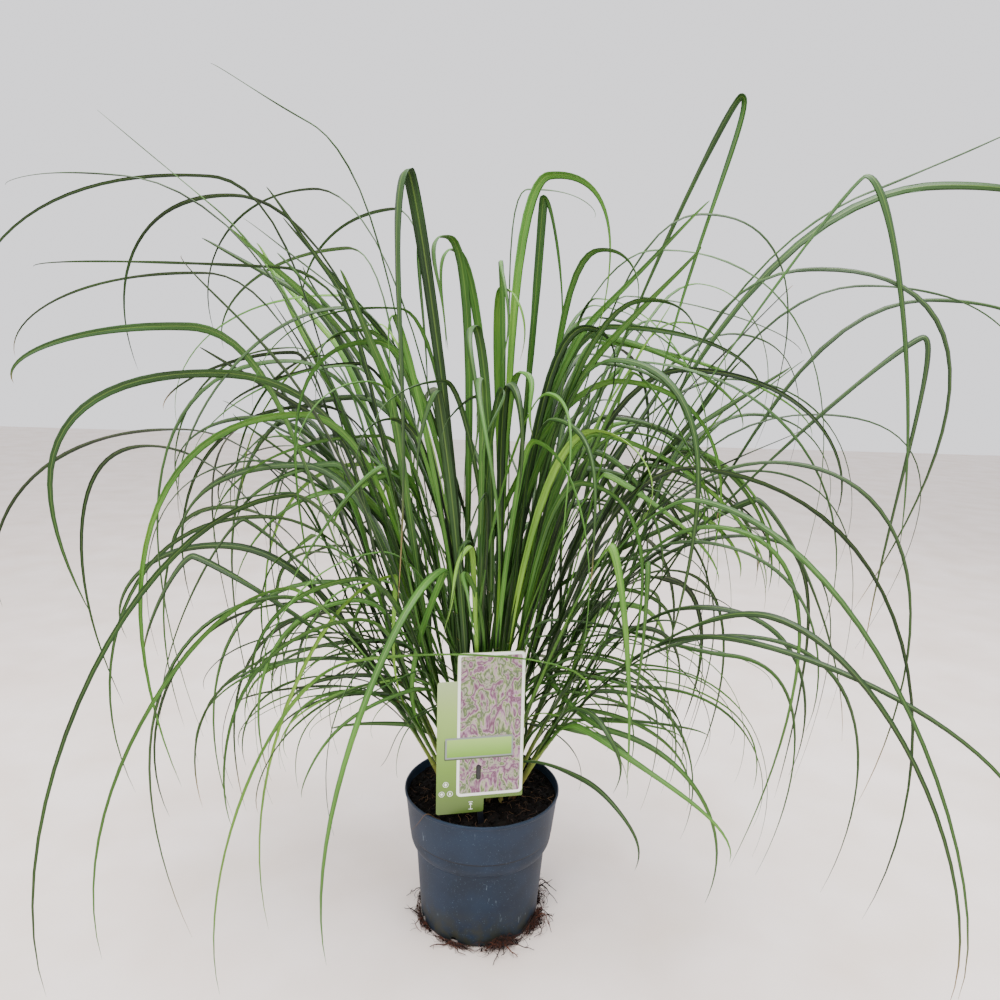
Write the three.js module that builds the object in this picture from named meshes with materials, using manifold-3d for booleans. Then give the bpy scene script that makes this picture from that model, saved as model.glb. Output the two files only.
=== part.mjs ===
// A clump of fountain grass in a round nursery pot, with a label on a stake.
// Millimetres, +Z up, +X to the right and +Y away from the front. The origin is the middle of the
// pot's flat base.

import * as THREE from 'three';
import { mergeVertices } from 'three/addons/utils/BufferGeometryUtils.js';
import Module from 'manifold-3d';

const wasm = await Module();
wasm.setup();

// Pot
const potHeight = 150;
const rimRadius = 85;
const footRadius = 65;
const shoulderHeight = 104;
const shoulderRadius = 78.8;
const waistHeight = 85.5;
const waistRadius = 71.4;
const potWall = 1.6;
const potBase = 2.2;
const potSides = 30;
const notchCount = 8;
const notchRadius = 5;
const notchRise = 1.5;
const gap = 0.3;

// Soil
const soilTop = 140;
const soilCrown = 5;
const soilRings = 3;

// Clump of stems
const stemCount = 40;
const clumpRadius = 43;
const clumpBack = 7;
const goldenAngle = 137.508;
const rootDepth = 18;
const stemRadius = 2.5;
const stemTopRadius = 1.3;
const stemSides = 4;
const tallestStem = 250;
const shortestStem = 110;
const greatestLean = 36;
const collars = [0.4, 0.56, 0.72, 0.86, 1];
const seenTries = 4;
const fillTries = 40;

// Leaf blades
const bladeDepth = 1.1;
const longLeaf = 230;
const floorClearance = 5;
const leafClearance = 0.6;
const smallestStep = 0.04;

// Label and its stake. The card's edges are counted across and up from the stake's foot.
const labelBase = new THREE.Vector3(2, -63, 141);
const labelTurn = 12;
const labelLean = 2;
const cardLeft = -48;
const cardRight = 41.5;
const cardBottom = 14;
const cardTop = 183;
const cardThickness = 0.7;
const slot = { across: -5, bottom: 49, width: 5, height: 16 };
const stakeThickness = 2;

const seed = 1907;
const up = new THREE.Vector3(0, 0, 1);
const degrees = Math.PI / 180;

// Closed meshes turned into solids that can be cut and joined, and back

function toSolid(geometry) {
  const bare = geometry.index ? geometry.toNonIndexed() : geometry.clone();
  bare.deleteAttribute('normal');
  bare.deleteAttribute('uv');
  const merged = mergeVertices(bare, 1e-4);
  const vertProperties = Float32Array.from(merged.attributes.position.array);
  const triVerts = Uint32Array.from(merged.index.array);
  const mesh = new wasm.Mesh({ numProp: 3, vertProperties, triVerts });
  return new wasm.Manifold(mesh);
}

function toGeometry(solid) {
  const { vertProperties, triVerts } = solid.getMesh();
  const geometry = new THREE.BufferGeometry();
  geometry.setAttribute('position', new THREE.BufferAttribute(vertProperties, 3));
  geometry.setIndex(new THREE.BufferAttribute(triVerts, 1));
  return geometry;
}

// The same sequence of draws each time, between 0 and 1
function dice(start) {
  let state = start >>> 0;
  return () => {
    state = (Math.imul(state, 1664525) + 1013904223) >>> 0;
    return state / 4294967296;
  };
}

// A point at a turn about the pot's middle, counted from +X towards +Y, at a reach and a height
function around(turn, reach, height) {
  const angle = turn * degrees;
  return new THREE.Vector3(reach * Math.cos(angle), reach * Math.sin(angle), height);
}

function lathe(points) {
  const outline = points.map(([radius, height]) => new THREE.Vector2(radius, height));
  return new THREE.LatheGeometry(outline, potSides).rotateX(Math.PI / 2);
}

// Pot: a straight band under the rim, a rounded shoulder and a tapered body

const wallSlope = (waistRadius - footRadius) / waistHeight;

const potOutside = [
  [footRadius - 1.5, 0],
  [footRadius, 2],
  [waistRadius, waistHeight],
  [waistRadius + 3.8, waistHeight + 3.5],
  [shoulderRadius - 0.8, shoulderHeight - 8],
  [shoulderRadius, shoulderHeight],
  [rimRadius - 1.2, potHeight - 3.5],
  [rimRadius, potHeight - 2.5],
  [rimRadius - 0.3, potHeight],
];

const potInside = [
  [rimRadius - 1.9, potHeight],
  [shoulderRadius - potWall, shoulderHeight],
  [shoulderRadius - 0.9 - potWall, shoulderHeight - 7.5],
  [waistRadius + 3 - potWall, waistHeight + 5],
  [waistRadius - potWall, waistHeight + 1.5],
  [footRadius + wallSlope * potBase - potWall, potBase],
];

function makePot() {
  const shell = toSolid(lathe([[0, 0], ...potOutside, ...potInside, [0, potBase]]));
  const notches = [];
  for (let i = 0; i < notchCount; i += 1) {
    const notch = new THREE.CylinderGeometry(notchRadius, notchRadius, 16, 6);
    notch.rotateZ(Math.PI / 2);
    notch.translate(footRadius, 0, notchRise);
    notch.rotateZ(notchTurn(i) * degrees);
    notches.push(toSolid(notch));
  }
  return notches.reduce((pot, notch) => pot.subtract(notch), shell);
}

function notchTurn(i) {
  return (360 * (i + 0.5)) / notchCount;
}

// Soil: fills the pot to just below the rim, a little higher and uneven round the stems

function soilHeight(x, y) {
  const away = Math.hypot(x, y) / rimRadius;
  const lumps = Math.sin(x / 9 + 1) * Math.cos(y / 7) + 0.6 * Math.sin((x - y) / 13);
  return soilTop + soilCrown * (1 - away * away) + 0.8 * lumps;
}

function makeSoil(holes) {
  const edge = rimRadius - 4;
  const wall = [
    [footRadius + wallSlope * potBase - potWall - gap, potBase + gap],
    [waistRadius - potWall - gap, waistHeight + 2],
    [shoulderRadius - potWall - gap, shoulderHeight + gap],
    [edge, soilTop],
  ];
  const top = [];
  for (let i = 1; i < soilRings; i += 1) {
    top.push([edge * (1 - i / soilRings), soilTop + 1]);
  }
  const body = lathe([[0, potBase + gap], ...wall, ...top, [0, soilTop + 1]]);
  const corners = body.attributes.position;
  for (let i = 0; i < corners.count; i += 1) {
    if (corners.getZ(i) > shoulderHeight + 1) {
      corners.setZ(i, soilHeight(corners.getX(i), corners.getY(i)));
    }
  }
  return holes.reduce((soil, hole) => soil.subtract(hole), toSolid(body));
}

// Label: a stepped card of printed plastic, hung on the hooked head of a flat stake

const labelFrame = new THREE.Matrix4()
  .makeTranslation(labelBase)
  .multiply(new THREE.Matrix4().makeRotationZ(labelTurn * degrees))
  .multiply(new THREE.Matrix4().makeRotationX(Math.PI / 2 - labelLean * degrees));

// Corners of the card: across, up, and the radius that rounds each one
const cardCorners = [
  [cardLeft, cardBottom, 3],
  [1, cardBottom, 3],
  [1, 28, 1],
  [cardRight, 28, 2],
  [cardRight, cardTop, 5],
  [-28, cardTop, 5],
  [-28, 154, 0.5],
  [cardLeft, 154, 3],
];

function roundedOutline(corners) {
  const shape = new THREE.Shape();
  corners.forEach(([x, y, radius], i) => {
    const corner = new THREE.Vector2(x, y);
    const [px, py] = corners[(i + corners.length - 1) % corners.length];
    const [nx, ny] = corners[(i + 1) % corners.length];
    const from = new THREE.Vector2(px, py).sub(corner).setLength(radius).add(corner);
    const to = new THREE.Vector2(nx, ny).sub(corner).setLength(radius).add(corner);
    if (i === 0) {
      shape.moveTo(from.x, from.y);
    } else {
      shape.lineTo(from.x, from.y);
    }
    shape.quadraticCurveTo(corner.x, corner.y, to.x, to.y);
  });
  return shape;
}

function slotOutline(grow) {
  const half = slot.width / 2 + grow;
  const low = slot.bottom - grow;
  const high = slot.bottom + slot.height + grow;
  const corner = half * 0.8;
  return roundedOutline([
    [slot.across - half, low, corner],
    [slot.across + half, low, corner],
    [slot.across + half, high, corner],
    [slot.across - half, high, corner],
  ]);
}

function makeCard() {
  const outline = roundedOutline(cardCorners);
  outline.holes.push(slotOutline(0));
  const options = { depth: cardThickness, bevelEnabled: false, curveSegments: 3 };
  return new THREE.ExtrudeGeometry(outline, options).applyMatrix4(labelFrame);
}

// The stake runs down behind the card into the soil; its head stands through the card's slot
function stakeSolid(grow) {
  const half = 3 + grow;
  const leg = new THREE.Shape([
    new THREE.Vector2(slot.across - half, slot.bottom + slot.height + 4),
    new THREE.Vector2(slot.across - half, slot.bottom - 6),
    new THREE.Vector2(-half, -8 - grow),
    new THREE.Vector2(0, -30 - 2 * grow),
    new THREE.Vector2(half, -8 - grow),
    new THREE.Vector2(slot.across + half, slot.bottom - 6),
    new THREE.Vector2(slot.across + half, slot.bottom + slot.height + 4),
  ]);
  const depth = stakeThickness + 2 * grow;
  const legBody = new THREE.ExtrudeGeometry(leg, { depth, bevelEnabled: false });
  legBody.translate(0, 0, -gap - stakeThickness - grow);
  const head = new THREE.ExtrudeGeometry(slotOutline(-0.6), {
    depth: stakeThickness + gap + cardThickness + 0.8,
    bevelEnabled: false,
    curveSegments: 3,
  });
  head.translate(0, 0, -gap - stakeThickness);
  legBody.applyMatrix4(labelFrame);
  head.applyMatrix4(labelFrame);
  return toSolid(legBody).add(toSolid(head));
}

// Root tufts: thin roots that come out of a drain notch and curl along the floor

function rootStrand(points, radius) {
  const route = new THREE.CatmullRomCurve3(points);
  const section = new THREE.Shape();
  for (let i = 0; i < 3; i += 1) {
    const angle = (i * 120 + 30) * degrees;
    const corner = [radius * Math.cos(angle), radius * Math.sin(angle)];
    if (i === 0) {
      section.moveTo(...corner);
    } else {
      section.lineTo(...corner);
    }
  }
  section.closePath();
  return new THREE.ExtrudeGeometry(section, { steps: 4, extrudePath: route, bevelEnabled: false });
}

// A plug of matted root fills the notch, and the longer roots of the tuft stand out of it
function makeRootTuft(index) {
  const roll = dice(seed + 500 + index);
  const turn = notchTurn(index);
  const large = turn > 290 || turn < 30;
  const plug = new THREE.CylinderGeometry(2.3, 3, 5, 6);
  plug.rotateZ(Math.PI / 2);
  plug.translate(footRadius + 1.5, 0, 3.1);
  plug.rotateZ(turn * degrees);
  let tuft = toSolid(plug);
  const count = large ? 4 : 2;
  for (let i = 0; i < count; i += 1) {
    const side = (2 * i) / (count - 1) - 1;
    const length = (large ? 26 : 15) + roll() * 12;
    const lift = 3 + roll() * (large ? 16 : 5);
    const swing = side * (7 + roll() * 5);
    const points = [
      around(turn + side * 0.9, footRadius + 2, 3.1),
      around(turn + swing * 0.5, footRadius + 5 + length * 0.2, lift),
      around(turn + swing, footRadius + 6 + length * 0.4, lift * 0.6 + 1.2),
      around(turn + swing * 1.6, footRadius + 6 + length * (0.3 + 0.5 * roll()), 1.9),
    ];
    tuft = tuft.add(toSolid(rootStrand(points, 0.8 + 0.5 * roll())));
  }
  return tuft;
}

// Stems: they fan out of the soil like the seeds of a sunflower, leaning more towards the outside

function stemPlan(index) {
  const roll = dice(seed + index * 31);
  const share = Math.sqrt((index + 0.5) / stemCount);
  const turn = (index * goldenAngle) % 360;
  const reach = clumpRadius * share;
  const foot = around(turn, reach, 0);
  foot.y += clumpBack;
  foot.z = soilHeight(foot.x, foot.y);
  const lean = greatestLean * share * (0.75 + 0.35 * roll());
  const height = shortestStem + (tallestStem - shortestStem) * (1 - 0.75 * share) * (0.7 + 0.5 * roll());
  return { index, turn, foot, lean, height, roll, leaves: [], refused: 0 };
}

function stemRuns(stem) {
  const line = [0, 0.25, 0.5, 0.75, 1].map((share) => stemPoint(stem, share));
  return runsOf(stem.index, line, () => stemRadius);
}

// A stem behind the label stands up straighter until it is clear of the card
function growStem(index) {
  const stem = stemPlan(index);
  const lean = stem.lean;
  for (let upright = 0; upright < 1 && !stemRuns(stem).every(labelClear); upright += 0.15) {
    stem.lean = lean * (1 - upright);
  }
  return stem;
}

// The direction of a stem, a share of the way up: it leans out a little more towards its top
function stemDirection(stem, share) {
  const lean = stem.lean * (0.75 + 0.45 * share) * degrees;
  return around(stem.turn, Math.sin(lean), Math.cos(lean));
}

function stemPoint(stem, share) {
  const steps = 12;
  const point = stem.foot.clone();
  for (let i = 0; i < steps; i += 1) {
    const part = Math.min(Math.max(share * steps - i, 0), 1);
    point.addScaledVector(stemDirection(stem, (i + 0.5) / steps), (stem.height / steps) * part);
  }
  return point;
}

function ringAt(centre, direction, radius, count) {
  const side = new THREE.Vector3().crossVectors(direction, new THREE.Vector3(0, 1, 0.01)).normalize();
  const front = new THREE.Vector3().crossVectors(direction, side);
  const ring = [];
  for (let i = 0; i < count; i += 1) {
    const angle = (2 * Math.PI * i) / count;
    const point = centre.clone();
    point.addScaledVector(side, radius * Math.cos(angle));
    point.addScaledVector(front, radius * Math.sin(angle));
    ring.push(point);
  }
  return ring;
}

// A closed body through rings of like count, with flat ends
function skin(rings) {
  const corners = [];
  const faces = [];
  const count = rings[0].length;
  rings.forEach((ring) => ring.forEach((point) => corners.push(point.x, point.y, point.z)));
  for (let r = 0; r + 1 < rings.length; r += 1) {
    for (let i = 0; i < count; i += 1) {
      const a = r * count + i;
      const b = r * count + ((i + 1) % count);
      faces.push(a, b, b + count, a, b + count, a + count);
    }
  }
  const last = (rings.length - 1) * count;
  for (let i = 1; i + 1 < count; i += 1) {
    faces.push(0, i + 1, i);
    faces.push(last, last + i, last + i + 1);
  }
  const geometry = new THREE.BufferGeometry();
  geometry.setAttribute('position', new THREE.Float32BufferAttribute(corners, 3));
  geometry.setIndex(faces);
  return geometry;
}

function stemSolid(stem) {
  const direction = stemDirection(stem, 0);
  const rings = [
    ringAt(stem.foot.clone().addScaledVector(direction, -rootDepth), direction, stemRadius, stemSides),
    ringAt(stem.foot.clone().addScaledVector(direction, 10), direction, stemRadius, stemSides),
    ringAt(stemPoint(stem, 0.55), stemDirection(stem, 0.55), stemRadius * 0.85, stemSides),
    ringAt(stemPoint(stem, 1), stemDirection(stem, 1), stemTopRadius, stemSides),
  ];
  return toSolid(skin(rings));
}

function stemHole(stem) {
  const direction = stemDirection(stem, 0);
  const bottom = stem.foot.clone().addScaledVector(direction, -rootDepth - gap);
  const top = stem.foot.clone().addScaledVector(direction, 14);
  const wide = stemRadius + gap + 0.15;
  return toSolid(skin([ringAt(bottom, direction, wide, stemSides), ringAt(top, direction, wide, stemSides)]));
}

// Leaves seen from the front, as turn, crest reach and height, tip reach and height, width and roll.
// An arch bends evenly over its crest and a fold sharply, a slope falls away in a long line, a hook
// curls in below its crest, and a wisp runs nearly straight.
const seenLeaves = [
  // left side
  [186, 250, 758, 348, 592, 6, 20, 'arch'],
  [166, 198, 782, 320, 628, 5, 10, 'arch'],
  [203, 180, 812, 262, 846, 3, 0, 'wisp'],
  [200, 262, 735, 350, 802, 3, 0, 'wisp'],
  [204, 330, 748, 415, 733, 3, 0, 'arch'],
  [187, 270, 772, 474, 604, 4, 30, 'arch'],
  [196, 205, 690, 410, 678, 5, 20, 'arch'],
  [178, 292, 690, 500, 602, 5, 20, 'arch'],
  [192, 290, 634, 440, 578, 9, 60, 'arch'],
  [200, 262, 592, 374, 372, 9, 65, 'hook'],
  [180, 350, 515, 395, 229, 6, 30, 'arch'],
  [206, 202, 482, 425, 40, 7, 50, 'slope'],
  [182, 228, 447, 371, 145, 6, 40, 'arch'],
  [215, 140, 624, 210, 380, 6, 40, 'arch'],
  [176, 180, 560, 330, 330, 6, 30, 'arch'],
  [160, 240, 620, 400, 420, 5, 10, 'arch'],
  [212, 215, 400, 380, 90, 6, 50, 'slope'],
  [188, 190, 360, 330, 130, 6, 30, 'arch'],
  [172, 150, 330, 300, 60, 6, 30, 'arch'],
  [222, 170, 330, 300, 60, 6, 50, 'slope'],
  // right side
  [346, 222, 850, 160, 532, 8, 30, 'fold'],
  [344, 195, 748, 258, 536, 5, 20, 'arch'],
  [330, 330, 758, 382, 466, 8, 30, 'fold'],
  [348, 395, 772, 500, 742, 9, 60, 'arch'],
  [340, 330, 755, 452, 802, 4, 20, 'wisp'],
  [331, 295, 690, 352, 410, 6, 30, 'hook'],
  [341, 386, 640, 366, 352, 6, 40, 'fold'],
  [352, 350, 690, 490, 602, 5, 20, 'arch'],
  [355, 420, 680, 530, 628, 6, 30, 'arch'],
  [345, 318, 570, 368, 345, 4, 10, 'hook'],
  [328, 230, 456, 328, 306, 5, 20, 'arch'],
  [318, 305, 416, 460, 160, 6, 40, 'slope'],
  [330, 289, 532, 371, 243, 5, 30, 'arch'],
  [320, 292, 388, 490, 280, 6, 30, 'arch'],
  [314, 246, 503, 470, 190, 6, 30, 'slope'],
  [340, 158, 714, 294, 388, 4, 10, 'arch'],
  [331, 149, 252, 250, 98, 6, 40, 'arch'],
  [330, 240, 470, 272, 150, 5, 40, 'arch'],
  [345, 251, 331, 293, 100, 5, 30, 'arch'],
  [336, 280, 366, 350, 132, 5, 30, 'arch'],
  [5, 250, 600, 380, 400, 5, 20, 'arch'],
  [12, 300, 500, 420, 200, 6, 20, 'arch'],
  // front and middle
  [240, 158, 758, 180, 410, 11, 10, 'fold'],
  [325, 60, 782, 110, 628, 9, -30, 'arch'],
  [310, 50, 764, 72, 592, 9, -30, 'fold'],
  [350, 30, 775, 95, 750, 4, 10, 'arch'],
  [315, 150, 614, 210, 350, 8, 30, 'arch'],
  [312, 190, 440, 206, 270, 6, 20, 'arch'],
  [236, 150, 645, 150, 548, 6, 20, 'fold'],
  [232, 105, 398, 232, 40, 6, 50, 'slope'],
  [250, 120, 420, 160, 372, 5, 20, 'arch'],
  [283, 80, 590, 100, 488, 9, 20, 'arch'],
  [300, 110, 560, 180, 420, 6, 20, 'arch'],
  [262, 90, 640, 130, 520, 8, 10, 'arch'],
  [275, 60, 700, 120, 600, 5, 10, 'arch'],
  [150, 90, 735, 80, 562, 6, 30, 'fold'],
  [150, 130, 768, 256, 640, 5, 20, 'arch'],
  [212, 110, 655, 262, 565, 4, 20, 'arch'],
  [152, 188, 730, 380, 618, 6, 20, 'arch'],
  [230, 165, 589, 230, 500, 5, 10, 'arch'],
  [28, 262, 706, 378, 530, 5, 10, 'arch'],
  [30, 208, 663, 278, 575, 5, 20, 'arch'],
  [45, 160, 678, 300, 625, 5, 10, 'arch'],
  [20, 108, 660, 185, 600, 5, 20, 'arch'],
  [318, 125, 611, 222, 530, 6, 20, 'arch'],
  [2, 186, 655, 232, 545, 4, 20, 'arch'],
  [12, 262, 648, 338, 500, 5, 20, 'arch'],
  [14, 300, 562, 398, 430, 7, 20, 'arch'],
  [40, 140, 580, 128, 500, 6, 10, 'fold'],
  [224, 98, 716, 118, 620, 8, 10, 'arch'],
  [319, 116, 642, 138, 568, 8, -30, 'arch'],
  [244, 122, 582, 144, 496, 10, 10, 'fold'],
  [288, 82, 601, 115, 545, 8, 10, 'arch'],
  [240, 74, 709, 80, 619, 8, 10, 'arch'],
  [225, 146, 634, 192, 556, 6, 20, 'arch'],
  [312, 182, 663, 246, 599, 6, -20, 'arch'],
  [236, 141, 557, 176, 490, 7, 20, 'arch'],
  [308, 155, 553, 207, 483, 8, -20, 'arch'],
  [322, 119, 711, 152, 641, 7, -20, 'arch'],
  [290, 28, 679, 61, 612, 8, -20, 'arch'],
];

// How far each kind stands out beyond its crest, as a share of the usual
const bendOf = { arch: 1, slope: 0.55, hook: 1.4, fold: 0.22, wisp: 1 };

function leafPlan([turn, crestReach, crestHeight, tipReach, tipHeight, width, roll, kind]) {
  return { turn, crestReach, crestHeight, tipReach, tipHeight, width, roll, kind };
}

// The middle line of a leaf: up its stem's line to the crest, then over and down to the tip
function leafLine(stem, share, leaf, turned) {
  const base = stemPoint(stem, share);
  const along = stemDirection(stem, share);
  const turn = leaf.turn + turned;
  const crest = around(turn, leaf.crestReach, leaf.crestHeight);
  const tip = around(turn + 0.35 * turned, leaf.tipReach, Math.max(leaf.tipHeight, floorClearance));
  const drop = Math.max(leaf.crestHeight - leaf.tipHeight, 0);
  const outward = around(turn, 1, 0);
  const over = leaf.kind === 'wisp' ? tip.clone().sub(crest).normalize() : outward;
  const bend = bendOf[leaf.kind];
  const rise = crest.distanceTo(base);
  const spread = Math.hypot(crest.x - base.x, crest.y - base.y);
  const beyond = 0.5 * Math.max(leaf.tipReach - leaf.crestReach, 0) + 0.28 * drop;
  const climb = new THREE.CubicBezierCurve3(
    base,
    base.clone().addScaledVector(along, 0.45 * rise),
    crest.clone().addScaledVector(over, -bend * (0.35 * spread + 0.06 * rise)),
    crest,
  );
  const fall = new THREE.CubicBezierCurve3(
    crest,
    crest.clone().addScaledVector(over, bend * beyond + 0.02 * rise),
    tip.clone().addScaledVector(up, 0.42 * drop).addScaledVector(outward, bend * 0.14 * drop),
    tip,
  );
  const riseSteps = rise > longLeaf ? 3 : 2;
  const fallSteps = crest.distanceTo(tip) > longLeaf ? 5 : 4;
  return [...climb.getPoints(riseSteps), ...fall.getPoints(fallSteps).slice(1)];
}

// Width along a leaf: narrow at its collar, widest a third of the way, then a long taper
function leafWidth(width, share) {
  const swell = Math.min(share / 0.3, 1);
  return width * (0.55 + 0.45 * swell) * (1 - Math.max(share - 0.3, 0) / 0.7) ** 0.7;
}

// Two triangles for one side of a twisted step, split so that the side bulges away from the other two
function outwardPair(corners, first, side, next) {
  const middle = new THREE.Vector3();
  for (let i = 0; i < 6; i += 1) {
    middle.addScaledVector(corners[first + i], 1 / 6);
  }
  const [a, b, c, d] = [first + side, first + next, first + next + 3, first + side + 3];
  const rising = corners[a].clone().add(corners[c]).multiplyScalar(0.5).distanceTo(middle);
  const falling = corners[b].clone().add(corners[d]).multiplyScalar(0.5).distanceTo(middle);
  return rising > falling ? [a, b, c, a, c, d] : [a, b, d, b, c, d];
}

// Three-sided blade: two margins and a keel below, each step turned a little more than the last
function bladeSolid(line, stem, share, leaf) {
  const start = line[0].clone().addScaledVector(stemDirection(stem, share), -5);
  const points = [start, ...line.slice(1)];
  const level = around(leaf.turn + 90, 1, 0);
  const corners = [];
  const faces = [];
  const last = points.length - 1;
  points.slice(0, last).forEach((point, i) => {
    const ahead = points[i + 1].clone().sub(point).normalize();
    const behind = i === 0 ? ahead : point.clone().sub(points[i - 1]).normalize();
    const tangent = ahead.clone().add(behind).normalize();
    const across = level.clone().addScaledVector(tangent, -level.dot(tangent)).normalize();
    const angle = leaf.roll * degrees * Math.min((2.6 * i) / last, 1.4);
    across.applyAxisAngle(tangent, angle);
    const below = new THREE.Vector3().crossVectors(across, tangent).normalize();
    const half = i === 0 ? 0.9 : leafWidth(leaf.width, i / last) / 2;
    const depth = i === 0 ? 0.7 : bladeDepth;
    corners.push(point.clone().addScaledVector(across, -half));
    corners.push(point.clone().addScaledVector(across, half));
    corners.push(point.clone().addScaledVector(below, -depth));
  });
  corners.push(points[last]);
  for (let i = 0; i + 1 < last; i += 1) {
    for (let side = 0; side < 3; side += 1) {
      const next = (side + 1) % 3;
      faces.push(...outwardPair(corners, i * 3, side, next));
    }
  }
  const end = (last - 1) * 3;
  faces.push(0, 2, 1);
  for (let side = 0; side < 3; side += 1) {
    faces.push(end + side, end + ((side + 1) % 3), last * 3);
  }
  const geometry = new THREE.BufferGeometry();
  const flat = corners.flatMap((corner) => corner.toArray());
  geometry.setAttribute('position', new THREE.Float32BufferAttribute(flat, 3));
  geometry.setIndex(faces);
  return toSolid(geometry);
}

// What a leaf has to keep clear of: each piece as straight runs with a half width

function runsOf(owner, line, halfWidth) {
  const runs = [];
  for (let i = 0; i + 1 < line.length; i += 1) {
    const half = Math.max(halfWidth(i / (line.length - 1)), halfWidth((i + 1) / (line.length - 1)));
    runs.push({ owner, from: line[i], to: line[i + 1], half });
  }
  return runs;
}

// The least distance between two straight runs
function runDistance(first, second) {
  const d1 = first.to.clone().sub(first.from);
  const d2 = second.to.clone().sub(second.from);
  const r = first.from.clone().sub(second.from);
  const a = d1.dot(d1);
  const e = d2.dot(d2);
  const b = d1.dot(d2);
  const c = d1.dot(r);
  const f = d2.dot(r);
  const spread = a * e - b * b;
  let s = spread > 1e-9 ? THREE.MathUtils.clamp((b * f - c * e) / spread, 0, 1) : 0;
  const t = THREE.MathUtils.clamp((b * s + f) / e, 0, 1);
  s = THREE.MathUtils.clamp((b * t - c) / a, 0, 1);
  return r.addScaledVector(d1, s).addScaledVector(d2, -t).length();
}

function labelClear(run) {
  const back = labelFrame.clone().invert();
  for (let i = 0; i <= 4; i += 1) {
    const point = run.from.clone().lerp(run.to, i / 4).applyMatrix4(back);
    const margin = run.half + 2;
    const across = point.x > cardLeft - margin && point.x < cardRight + margin;
    const high = point.y > -5 && point.y < cardTop + margin;
    const deep = point.z > -stakeThickness - 1 - margin && point.z < cardThickness + 1 + margin;
    if (across && high && deep) {
      return false;
    }
  }
  return true;
}

function potClear(run) {
  for (let i = 0; i <= 4; i += 1) {
    const point = run.from.clone().lerp(run.to, i / 4);
    if (point.z < potHeight + 4 && Math.hypot(point.x, point.y) < rimRadius + 5) {
      return false;
    }
  }
  return true;
}

function clearOf(runs, placed) {
  return runs.every((run) => {
    if (!labelClear(run) || !potClear(run)) {
      return false;
    }
    return placed.every((other) => {
      if (other.owner === run.owner) {
        return true;
      }
      const reach = run.half + other.half + leafClearance;
      const apart = run.from.distanceTo(other.from) - run.from.distanceTo(run.to);
      return apart - other.from.distanceTo(other.to) > reach || runDistance(run, other) > reach;
    });
  });
}

const turnsToTry = [0, 2, -2, 4, -4, 6, -6, 9, -9, 12, -12, 16, -16, 21, -21];

// The leaf bent clear: turned a little about the pot until it meets nothing
function placeLeaf(stem, share, leaf, placed) {
  for (const turned of turnsToTry) {
    const line = leafLine(stem, share, leaf, turned);
    const runs = runsOf(stem.index, line, (part) => leafWidth(leaf.width, part) / 2);
    if (clearOf(runs, placed)) {
      placed.push(...runs);
      stem.leaves.push({ line, share, leaf: { ...leaf, turn: leaf.turn + turned } });
      return true;
    }
  }
  return false;
}

// The stem with a collar free that already points most nearly along the leaf's rise
function stemFor(leaf, stems) {
  const aim = around(leaf.turn, leaf.crestReach * 0.42, 150 + 0.6 * (leaf.crestHeight - 150));
  let best = null;
  let least = Infinity;
  stems.forEach((stem) => {
    const top = stemPoint(stem, 1);
    const miss = aim.clone().sub(top).normalize().angleTo(stemDirection(stem, 1));
    const tooTall = Math.max(top.z + 60 - leaf.crestHeight, 0) / 100;
    const cost = miss + tooTall + 0.12 * stem.leaves.length + stem.refused * 0.2;
    if (stem.leaves.length < collars.length && cost < least) {
      least = cost;
      best = stem;
    }
  });
  return best;
}

// A leaf that fills a free collar: it climbs on along its stem's line and hangs lower on outer stems
function fillingLeaf(stem, share) {
  const { roll } = stem;
  const collar = stemPoint(stem, share);
  const outer = stem.lean / greatestLean;
  const turn = stem.turn + (roll() - 0.5) * 70;
  const front = Math.max(Math.cos((turn - 270) * degrees), 0) ** 4;
  const climb = (150 + 270 * roll()) * (1.1 - 0.35 * outer);
  const tilt = (stem.lean * 1.2 + 5 + 10 * roll()) * degrees;
  const crestReach = Math.hypot(collar.x, collar.y) + climb * Math.sin(tilt) * (1 - 0.4 * front);
  const crestHeight = collar.z + climb * Math.cos(tilt);
  const out = climb * (0.15 + 0.45 * roll()) * (1 - 0.3 * front);
  const drop = climb * (0.15 + 1.1 * roll()) * (1 - 0.7 * front);
  return {
    turn,
    crestReach,
    crestHeight,
    tipReach: crestReach + out,
    tipHeight: Math.max(crestHeight - drop, 20 + 60 * roll()),
    width: 4 + 4.5 * roll(),
    roll: (roll() - 0.5) * 110,
    kind: roll() > 0.88 ? 'fold' : 'arch',
  };
}

// All stems with their leaves. One that is too crowded to bear a leaf isn't grown.
function growStems() {
  const stems = [];
  const placed = [];
  for (let i = 0; i < stemCount; i += 1) {
    const stem = growStem(i);
    stems.push(stem);
    placed.push(...stemRuns(stem));
  }
  seenLeaves.map(leafPlan).forEach((leaf) => {
    for (let attempt = 0; attempt < seenTries; attempt += 1) {
      const stem = stemFor(leaf, stems);
      if (placeLeaf(stem, collars[collars.length - 1 - stem.leaves.length], leaf, placed)) {
        return;
      }
      stem.refused += 1;
    }
  });
  stems.forEach((stem) => {
    for (let attempt = 0; attempt < fillTries && stem.leaves.length < collars.length; attempt += 1) {
      const share = collars[collars.length - 1 - stem.leaves.length];
      placeLeaf(stem, share, fillingLeaf(stem, share), placed);
    }
  });
  return stems.filter((stem) => stem.leaves.length > 0);
}

function leafyStem(stem) {
  const blades = stem.leaves.map(({ line, share, leaf }) => bladeSolid(line, stem, share, leaf));
  const plant = blades.reduce((grown, blade) => grown.add(blade), stemSolid(stem));
  return plant.asOriginal().simplify(smallestStep);
}

// Materials

function plain(color, roughness) {
  return new THREE.MeshStandardMaterial({ color, roughness, metalness: 0 });
}

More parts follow.
